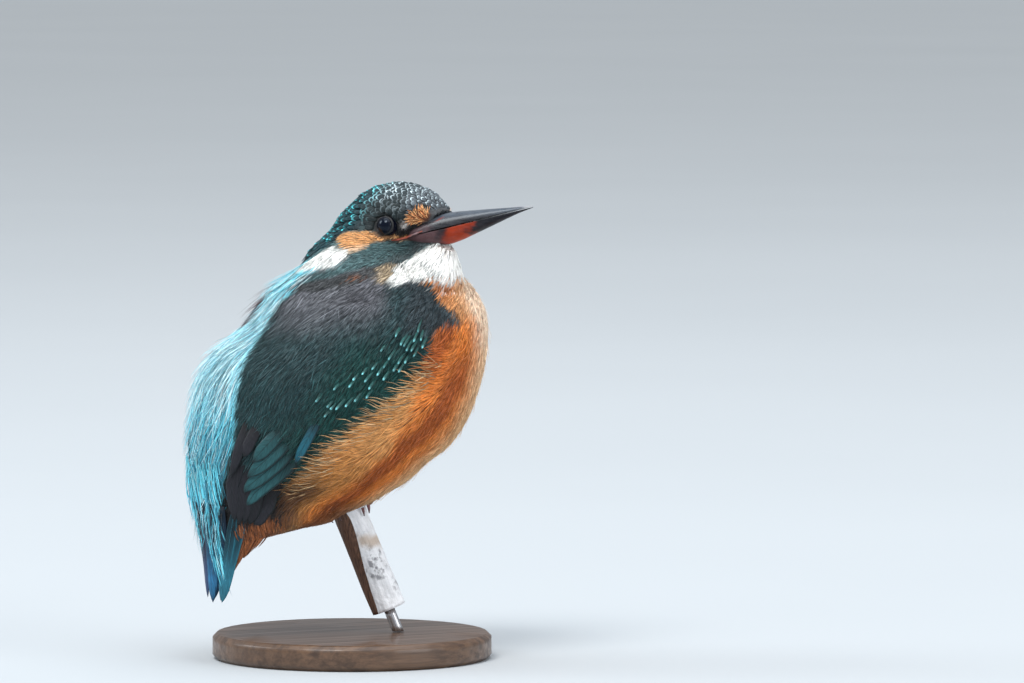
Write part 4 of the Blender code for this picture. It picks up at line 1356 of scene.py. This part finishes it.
def cap_rows(step, apart):
    """Roots of the scalloped feathers, in rows from the bill to the nape, smallest at the bill."""
    middle = HEAD @ Vector((-5.5, 0, -1.0))
    spots, indices = [], []
    reach, k = math.radians(2), 0
    while reach < math.radians(222):
        fine = float(np.interp(math.degrees(reach), (0, 40, 75, 110), (0.52, 0.66, 0.9, 1.0)))
        between = fine * apart / 12.5
        for j in range(int(math.radians(84) / between) + 1):
            for hand in (-1, 1):
                sideways = hand * between * (j + (0.5 if k % 2 else 0.0))
                if hand > 0 and sideways == 0:
                    continue
                aim = Vector((math.cos(reach) * math.cos(sideways), math.sin(sideways),
                              math.sin(reach) * math.cos(sideways)))
                hit, _, index, _ = SKIN_TREE.ray_cast(middle, HEAD.to_3x3() @ aim)
                if hit is None:
                    continue
                gaps = np.linalg.norm(np.array(spots).reshape(-1, 3) - np.array(hit), axis=1)
                if len(gaps) and gaps.min() < fine * apart * 0.74:
                    continue
                spots.append(hit[:])
                indices.append(index)
        reach += fine * step / 15.0
        k += 1
    spots, normals = np.array(spots), TRI_NORMALS[indices]
    uv = SKIN_UV[SKIN_LOOPS[indices]].mean(1)
    clear = masks(spots + normals * COAT_DEPTH)["loral"] < 0.05
    return part_of({"at": spots, "normal": normals, "uv": uv}, (roots_zone(spots) == CAP) & clear)


def stays_on_cap(roots, length):
    """Leaves out feathers that would reach past the edge of the cap."""
    ends = roots["at"] + lie(roots["at"], roots["normal"]) * length
    return part_of(roots, masks(ends + roots["normal"] * COAT_DEPTH)["cap"] > 0.5)


cap = stays_on_cap(scatter(0.95, wanted(CAP), 17), 2.0)
f = head_space(cap["at"])[:, 0]
short = 2.3 + 1.6 * smooth(2, -18, f) - 0.6 * smooth(8, 14, f)
rows = stays_on_cap(cap_rows(1.35, 1.65), 1.8)
q = head_space(rows["at"])
size = np.interp(q[:, 0], (-18, -8, 0, 6, 10, 14), (3.8, 3.5, 3.1, 2.6, 1.9, 1.5))
broad = np.interp(q[:, 0] - 0.35 * (q[:, 2] - 6), (-8, 0, 5, 9, 13), (1.3, 2.1, 1.95, 1.45, 1.05))
coat_piece("cap", "plumage_head", VANES,
           (cap, short, 0.85, dict(
               rise=(-0.1, 0.25), stray=0.1, seed=31, root_dark=0.6, vary=0.2,
               fleck=lambda seen, draw: np.zeros((len(seen), 4)))),
           (rows, size, broad, dict(
               across=7, beats=(0, 0.25, 0.5, 0.72, 0.87, 0.96, 1), rise=(0.1, 0.55),
               stray=0.06, bow=0.12, shape=VANE_SHAPE, seed=27, root_dark=0.5, vary=0.15,
               tip_light=0.9, fleck=cap_flecks)))


# ---------------------------------------------------------------- quills and coverts
LONG_BEATS = np.array((0, 0.12, 0.25, 0.4, 0.55, 0.68, 0.79, 0.87, 0.93, 0.97, 1.0))
SHORT_BEATS = np.linspace(0, 1, 6)


def feather(coat, spine, facing, width, tints, uv, chance, across=7, fleck=(0, 0, 0, 0),
            point=0.5, bow=0.06, lean=0.0, beats=SHORT_BEATS):
    """One large feather on a spine of points in millimetres; width is its widest."""
    spine, facing = np.array(spine), unit(np.array(facing))
    profile = np.minimum(1, 0.45 + beats * 2.2) \
        * (1 - np.clip((beats - point) / (1 - point), 0, 1) ** 2.4)
    run = unit(np.gradient(spine, axis=0))
    facing = unit(facing + unit(np.cross(facing, run)) * lean)
    side = unit(np.cross(facing, run))
    widths = (width * np.maximum(profile, 0.12))[:-1]
    coat.lay(spine[None], facing[None], side[None], widths[None], (widths * bow + 0.12)[None],
             np.array(uv)[None], np.array(tints)[None], np.array((chance,)), across,
             np.array(fleck, float)[None], beats)


def skin_uv(point):
    """The bake map's place nearest a point."""
    _, _, index, _ = SKIN_TREE.find_nearest(tuple(point))
    return SKIN_UV[SKIN_LOOPS[index]].mean(0)


def shades_of(tone, *shares):
    return [tone * s for s in shares]


def fading(tone, *shares):
    """From the wing's green to a tone, by these shares."""
    return [np.array(GREEN) * (1 - w) + tone * w for w in shares]


# folded quills, the lowest first: three places (ring height, turn), width, lift, colour
NIGHT, OCEAN = (0.011, 0.011, 0.015), (0.018, 0.078, 0.086)
LAGOON = (0.010, 0.074, 0.104)
QUILL_TABLE = (
    ((62, 146), (50, 140), (38.0, 136), 4.0, 0.10, NIGHT),
    ((62, 141), (49, 134), (37.5, 131), 4.0, 0.16, NIGHT),
    ((60, 136), (48, 129), (38.0, 126), 4.0, 0.22, NIGHT),
    ((58, 128), (46, 121), (38.0, 121), 4.0, 0.30, NIGHT),
    ((54, 120), (43, 112.5), (38.2, 117), 3.8, 0.45, NIGHT),
    ((51, 114), (44, 109.5), (40.2, 112), 3.2, 0.45, NIGHT),
    ((58, 115), (49.5, 117), (42.0, 126), 4.4, 0.60, OCEAN),
    ((61, 117), (52.5, 121), (44.6, 129), 4.4, 0.75, OCEAN),
    ((64, 119), (55.5, 124), (47.8, 131.5), 4.4, 0.90, OCEAN),
    ((66, 123), (58.0, 128), (51.0, 133), 4.2, 1.05, OCEAN),
    ((66, 135), (58, 138), (51.5, 138.5), 3.4, 0.75, NIGHT),
    ((66, 142), (57, 143), (47, 141.5), 3.2, 0.85, NIGHT),
    ((68, 113), (60.5, 114.0), (52.8, 113.5), 2.7, 0.95, LAGOON))
# each quill near black at its root, painted shade under the coverts that lie over it
QUILL_SHADES = (0, 0.35, 0.62, 0.85, 1), (0.05, 0.28, 1.05, 1.15, 0.7)
QUILL_MARGIN = (0.006, 0.012, 0.014, 1)
for label, hand in HANDS:
    coat = Coat("plumage_quills_" + label, "plumage_wing", QUILLS)
    draw = np.random.default_rng(31)
    for start, half, end, width, lift, shade in QUILL_TABLE:
        start, half, end = (np.array(place) for place in (start, half, end))
        spine, facing = [], []
        for t in LONG_BEATS:
            ring, turn = ((1 - t) ** 2 * start
                          + 2 * t * (1 - t) * (2 * half - 0.5 * (start + end)) + t * t * end)
            at, n = trunk_point(ring, turn, hand, -0.9 + (lift + 1.3) * smooth(0.12, 0.7, t)
                                - float(back_inset(ring, turn, hand > 0)))
            spine.append(at)
            facing.append(n)
        base = np.array(shade) * draw.uniform(0.8, 1.25)
        feather(coat, spine, facing, width, shades_of(base, *np.interp(LONG_BEATS, *QUILL_SHADES)),
                skin_uv(spine[5]), draw.random(), across=9, fleck=QUILL_MARGIN, point=0.72,
                lean=0.10 * hand, bow=0.05, beats=LONG_BEATS)
    coat.finish_piece()

# bright drops at the tips of the wing coverts: ring height, turn
DROPS = ((88.2, 88), (88.4, 91.5), (85.5, 93), (85.6, 90), (82.6, 91), (80.4, 95), (78.8, 99.5),
         (76.2, 104.5), (86.8, 86.5), (84.2, 88.6), (82.2, 94.2), (79.6, 92.2), (77.6, 97.0),
         (75.0, 100.6), (86.6, 93.8), (81.4, 99.0), (78.2, 106.5), (74.2, 108.5), (72.2, 98.6),
         (70.4, 103.8), (69.2, 107), (68.4, 109.5), (67.8, 111.5), (67.9, 113.5), (69, 118.5),
         (83, 98), (80, 103), (76, 109), (73, 114), (91, 89.5), (87, 97), (66, 113), (84.5, 103),
         (89, 100))
for label, hand in HANDS:
    coat = Coat("plumage_covert_drops_" + label, "plumage_wing", SILK)
    draw = np.random.default_rng(32)
    for ring, turn in DROPS:
        long = draw.uniform(1.5, 2.1)
        ring, turn = ring + draw.normal(0, 0.35), turn + draw.normal(0, 0.5)
        spine, facing = [], []
        for t in SHORT_BEATS:
            back = (1 - t) * long
            at, n = trunk_point(ring + back * 0.85, turn - back * 0.7, hand,
                                0.35 + 0.75 * t ** 0.8)
            spine.append(at)
            facing.append(n)
        glow = np.array(DROP_GLOW) * draw.uniform(0.45, 1.25)
        tints = fading(glow, 0, 0, 0.05, 0.3, 0.9, 1)
        feather(coat, spine, facing, draw.uniform(0.5, 0.75), tints, skin_uv(spine[3]),
                draw.random(), across=5, point=0.8, bow=0.2)
        # a dim streak beneath each drop
        streak = [p + (spine[-1] - spine[0]) * (0.1 - 1.2 * (1 - t)) - (0.30 + 0.1 * t) * n
                  for p, n, t in zip(spine, facing, SHORT_BEATS)]
        tints = fading(np.array(DROP_STREAK), 0, 0.15, 0.4, 0.7, 1, 0.8)
        feather(coat, streak, facing, draw.uniform(0.7, 1.0), tints, skin_uv(spine[3]),
                draw.random(), across=5, point=0.5, bow=0.1)
    coat.finish_piece()

# tail: ten feathers that run down from over the rump, the middle pair on top. From the outer
# pair to the middle pair: start turn, then for the right and the left feather of the pair the
# tip's place sideways (to its own side) and its height
TAIL_TABLE = ((127, (3.3, 16.9), (5.4, 18.4)), (136, (3.1, 17.5), (5.0, 18.2)),
              (148, (-1.2, 17.2), (4.6, 18.0)), (160, (-0.8, 16.9), (4.2, 17.9)),
              (173, (-0.4, 16.7), (3.7, 17.8)))
INDIGO, AZURE, LAKE = (0.010, 0.028, 0.080), (0.013, 0.085, 0.170), (0.015, 0.095, 0.135)
OUTER_MARGIN, INNER_MARGIN = (0.03, 0.19, 0.26, 1), (0.006, 0.012, 0.03, 1)
# each tail feather near black at its root, painted shade under the coverts, and brightest near the
# tip, a painted highlight
TAIL_SHADES = (0, 0.5, 0.78, 1), (0.06, 0.5, 1.7, 1.2)
TAIL_SWING = 1.0
coat = Coat("tail_feathers", "plumage_tail", QUILLS)
draw = np.random.default_rng(33)
for layer, (turn, *tips) in enumerate(TAIL_TABLE):
    for (_, hand), (out, height) in zip(HANDS, tips):
        lift = -0.1 + 0.2 * layer
        start, n0 = trunk_point(41.0, turn, hand, lift)
        half, _ = trunk_point(33.0, turn, hand, lift + 0.3)
        half = half + np.array((0.6, 0, 0))
        end = np.array((-40.2 - 0.22 * layer, hand * out + TAIL_SWING, height))
        last = np.array((-1, 0.1 if hand > 0 else -0.5, -0.2))
        spine = [(1 - t) ** 2 * start + 2 * t * (1 - t) * half + t * t * end for t in LONG_BEATS]
        facing = [(1 - t) * n0 + t * last for t in LONG_BEATS]
        outer = hand < 0 and layer < 2
        blue = np.array(INDIGO if hand > 0 else LAKE if outer else AZURE) * draw.uniform(0.85, 1.2)
        feather(coat, spine, facing, 3.0, shades_of(blue, *np.interp(LONG_BEATS, *TAIL_SHADES)),
                skin_uv(spine[1]), draw.random(), across=9,
                fleck=OUTER_MARGIN if outer else INNER_MARGIN, point=0.8, bow=0.06,
                beats=LONG_BEATS)
coat.finish_piece("tail")


def strand(coat, draw, start, facing, run, swell, tints, width):
    """A narrow loose feather that leaves the body and swells away from it on its way."""
    spine = [start + run * t + swell(t) for t in SHORT_BEATS]
    feather(coat, spine, [facing] * 6, draw.uniform(*width), tints, skin_uv(start), draw.random(),
            across=3, point=0.4, bow=0.2)


# the last strands of the back stripe, hanging free over the root of the tail
COVERT_STRANDS, VENT_STRANDS = 430, 260
PALE_STRAND = (0.42, 0.82, 0.90)
coat = Coat("plumage_tail_coverts", "plumage_tail", SILK)
draw = np.random.default_rng(36)
for _ in range(COVERT_STRANDS):
    turn = 180 + draw.uniform(-26, 30)
    hand = -1 if turn < 180 else 1
    height = draw.uniform(31, 50)
    start, n0 = trunk_point(height, min(turn, 360 - turn), hand, 0.1)
    long = draw.uniform(8, 13)
    drop = np.array((draw.normal(0.34, 0.05), draw.normal(0, 0.06) - 0.04 * hand, -1.0))
    bulge = n0 * draw.uniform(0.5, 1.3)
    chance = draw.random()
    tone = np.array(PALE_STRAND if chance > 0.88 else CYAN if chance > 0.25 else DEEP)
    strand(coat, draw, start, n0, drop * long, lambda t: bulge * math.sin(2.2 * t),
           shades_of(tone, 0.5, 0.8, 1, 1, 1.1, 1.1), (0.28, 0.5))
coat.finish_piece()

# soft rufous strands under the tail, that carry the vent's outline on to the tail feathers
coat = Coat("plumage_undertail", "plumage_tail", DOWN)
draw = np.random.default_rng(39)
for k in range(VENT_STRANDS):
    hand = -1 if k % 2 else 1
    start, n0 = trunk_point(draw.uniform(30.5, 36), draw.uniform(80, 122), hand, -1.3)
    aim = unit(np.array((-38.5, draw.uniform(-1.5, 3.5), 20.0)) - start)
    long = draw.uniform(4.0, 7.5)
    tone = coat_colour(start[None])[0] * draw.uniform(0.7, 1.35)
    strand(coat, draw, start, n0, aim * long, lambda t: n0 * 0.3 * math.sin(2.6 * t),
           shades_of(tone, 0.7, 0.9, 1, 1, 1.1, 1.2), (0.4, 0.7))
coat.finish_piece()


# ---------------------------------------------------------------- eyes and lids
# pupil and iris: near black, tinted blue as a painted reflection of the sky
PUPIL_SKY_TINTED, IRIS_SKY_TINTED = (0.002, 0.004, 0.011), (0.007, 0.008, 0.014)
LID_RADIUS, LID_THICK = 2.42, 0.30
WET = eye_finish()
LID = bare_skin_finish("bare eyelid", (0.007, 0.007, 0.009, 1), 5200.0, 900.0, 0.32)
for label, hand in HANDS:
    centre = HEAD @ Vector((EYE_AT[0], hand * EYE_AT[1], EYE_AT[2]))
    outward = (HEAD.to_3x3() @ Vector((0.18, hand, 0.10))).normalized()
    seat = Matrix.Translation(centre * MM) @ outward.to_track_quat("Z", "Y").to_matrix().to_4x4()
    deselect()
    bpy.ops.mesh.primitive_uv_sphere_add(segments=48, ring_count=32, radius=EYE_RADIUS * MM)
    eye = bpy.context.object
    eye.name = "eyeball_" + label
    # the cornea bulges a little over the front of the ball
    with editing("DESELECT"):
        pass
    for v in eye.data.vertices:
        v.select = v.co.z > 0.62 * EYE_RADIUS * MM
    bpy.ops.object.mode_set(mode="EDIT")
    bpy.ops.transform.translate(value=(0, 0, 0.22 * MM), use_proportional_edit=True,
                                proportional_edit_falloff="SMOOTH", proportional_size=1.2 * MM)
    bpy.ops.object.mode_set(mode="OBJECT")
    bpy.ops.object.shade_smooth()
    away = np.degrees(np.arccos(np.clip(points_of(eye)[:, 2] / EYE_RADIUS, -1, 1)))
    eye.data.transform(seat)
    # the eye's dark colours carry a painted blue reflection of the sky
    paint(eye, "Tint", layered(PUPIL_SKY_TINTED, len(away),
                               (IRIS_SKY_TINTED, smooth(34, 38, away) * fall(50, 56, away))))
    placed(eye, "eye", "eye_" + label, finish=WET)

    deselect()
    bpy.ops.mesh.primitive_torus_add(major_segments=64, minor_segments=14,
                                     major_radius=LID_RADIUS * MM,
                                     minor_radius=LID_THICK * MM)
    lid = bpy.context.object
    lid.name = "eyelid_" + label
    with editing():
        bpy.ops.transform.resize(value=(1.06, 0.96, 1.3))
        bpy.ops.transform.translate(value=(0, 0, 1.38 * MM))
    co = points_of(lid)
    turn = np.arctan2(co[:, 1], co[:, 0])
    put_points(lid, co * (1 + 0.012 * np.sin(turn * 26) + 0.02 * np.sin(turn * 2 + 1))[:, None])
    lid.data.transform(seat)
    bpy.ops.object.shade_smooth()
    placed(lid, "plumage_head", finish=LID)

# ---------------------------------------------------------------- feet, reed and stand
TOES, CLAW = scaled_skin_finish(), horn_finish("claw horn", 0.3, 0.4)
TOE_RED, CLAW_ROOT, CLAW_TIP = (0.46, 0.10, 0.06), (0.22, 0.045, 0.035), (0.05, 0.02, 0.02)
for label in ("left", "right"):
    o = refined(("foot_" + label, "leg_" + label), "toes_" + label, levels=1, sharp=70, crease=0.3)
    paint(o, "Tint", np.array(TOE_RED) * (1 + 0.25 * drift(points_of(o), 1.5, 71))[:, None])
    placed(o, "foot_skin", "foot_" + label, "leg_" + label, finish=TOES)
    names = tuple(f"claw_{label}_{toe}" for toe in ("inner", "middle", "outer", "hind"))
    o = refined(names, "claws_" + label, levels=2, sharp=60)
    height = points_of(o)[:, 2]
    paint(o, "Tint", layered(CLAW_ROOT, len(height), (CLAW_TIP, smooth(42.5, 38.5, height))))
    placed(o, "claw", *names, finish=CLAW)

reed = refined(("perch_reed",), "reed_stem", levels=3, sharp=50, crease=1.0)
co = points_of(reed)
high = (co - REED_TOP) @ UP_REED
radial = unit(co - REED_TOP - high[:, None] * UP_REED)
rib = 0.06 * drift(np.stack((radial[:, 0] * 9, radial[:, 1] * 9, high * 0.12), 1), 1.6, 81)
crust = 0.22 * smooth(0.1, 0.8, drift(co, 6.0, 82)) \
    * smooth(0.1, 0.7, radial @ np.array((0.62, -0.78, 0)))
co = co + radial * (rib + crust)[:, None]
put_points(reed, co)
# liming: white over all but the left side, worn patches, and one tan patch near the top
z = co[:, 2]
across = radial @ np.array((0.891, -0.454, 0.0))
toward = radial @ np.array((-0.454, -0.891, 0.0))
bare = np.interp(z, (2.4, 36.4), (-0.85, -0.06)) + 0.10 * drift(co, 5.0, 83)
white = smooth(-0.10, 0.10, across - bare) * smooth(-0.95, -0.6, toward)
worn = smooth(36, 33, z) * smooth(16, 22, z) * smooth(0.0, 0.4, drift(co, 4.0, 84))
tan = smooth(34.5, 33, z) * smooth(30, 31.5, z) * smooth(-0.3, 0.1, across)
paint(reed, "Liming", np.stack((white, worn, tan), 1))
placed(reed, "reed", "perch_reed", finish=reed_finish())
for node, sharp, finish in (("stand_base", 25, base_finish()), ("stand_rod", 40, rod_finish())):
    placed(refined((node,), node + "_turned", levels=2, sharp=sharp, crease=1.0), node, node,
           finish=finish)

# ---------------------------------------------------------------- stage, light and camera
deselect()
bpy.ops.mesh.primitive_circle_add(vertices=96, radius=30, fill_type="NGON", location=(0, 0, 0))
floor = bpy.context.object
floor.name = "floor"
m = Finish("pale floor")
shade = m.noise(m.place(), 3.0, 2.0)
floor.data.materials.append(m.surface(
    base_color=m.blend(shade, (0.46, 0.49, 0.515, 1), (0.49, 0.52, 0.545, 1)), roughness=0.9))

world = bpy.data.worlds.new("soft studio")
bpy.context.scene.world = world
world.use_nodes = True
world.node_tree.nodes["Background"].inputs[0].default_value = (0.86, 0.93, 1.0, 1)
world.node_tree.nodes["Background"].inputs[1].default_value = 0.45


def hang(name, data, at, aim, front="-Z"):
    """Puts a lamp or the camera in the scene, its front axis along aim."""
    o = bpy.data.objects.new(name, data)
    bpy.context.scene.collection.objects.link(o)
    o.location = at
    o.rotation_euler = aim.to_track_quat(front, "Y").to_euler()
    return o


LIT_POINT = Vector((0, 0, 0.08))
for name, at, size, power, colour in (
        ("front fill", (0.9, -1.6, 0.7), 1.1, 14, (1, 1, 1)),
        ("back rim", (-1.2, 0.9, 1.0), 0.8, 10, (0.9, 0.96, 1.0)),
        ("overhead cloud", (0.0, -0.2, 2.3), 3.0, 48, (0.92, 0.96, 1.0))):
    lamp = bpy.data.lights.new(name, "AREA")
    lamp.shape, lamp.size, lamp.energy, lamp.color = "DISK", size, power, colour
    hang(name, lamp, at, LIT_POINT - Vector(at))
sun = bpy.data.lights.new("overcast key", "SUN")
sun.energy, sun.angle, sun.color = 1.9, math.radians(24), (1.0, 0.985, 0.96)
hang("overcast key", sun, (0, 0, 0), Vector((0.75, 0.55, -1.25)))

AIM = Vector((38.8, -19.7, 86.2)) * MM
AZIMUTH, ELEVATION, DISTANCE = math.radians(-27), math.radians(4), 2.317
lens = bpy.data.cameras.new("camera")
lens.lens, lens.sensor_width, lens.clip_start, lens.clip_end = 300, 36, 0.1, 100
toward = Vector((math.sin(AZIMUTH) * math.cos(ELEVATION), -math.cos(AZIMUTH) * math.cos(ELEVATION),
                 math.sin(ELEVATION)))
bpy.context.scene.camera = hang("camera", lens, AIM + toward * DISTANCE, toward, "Z")
bpy.context.scene.view_settings.view_transform = "Standard"

deselect()
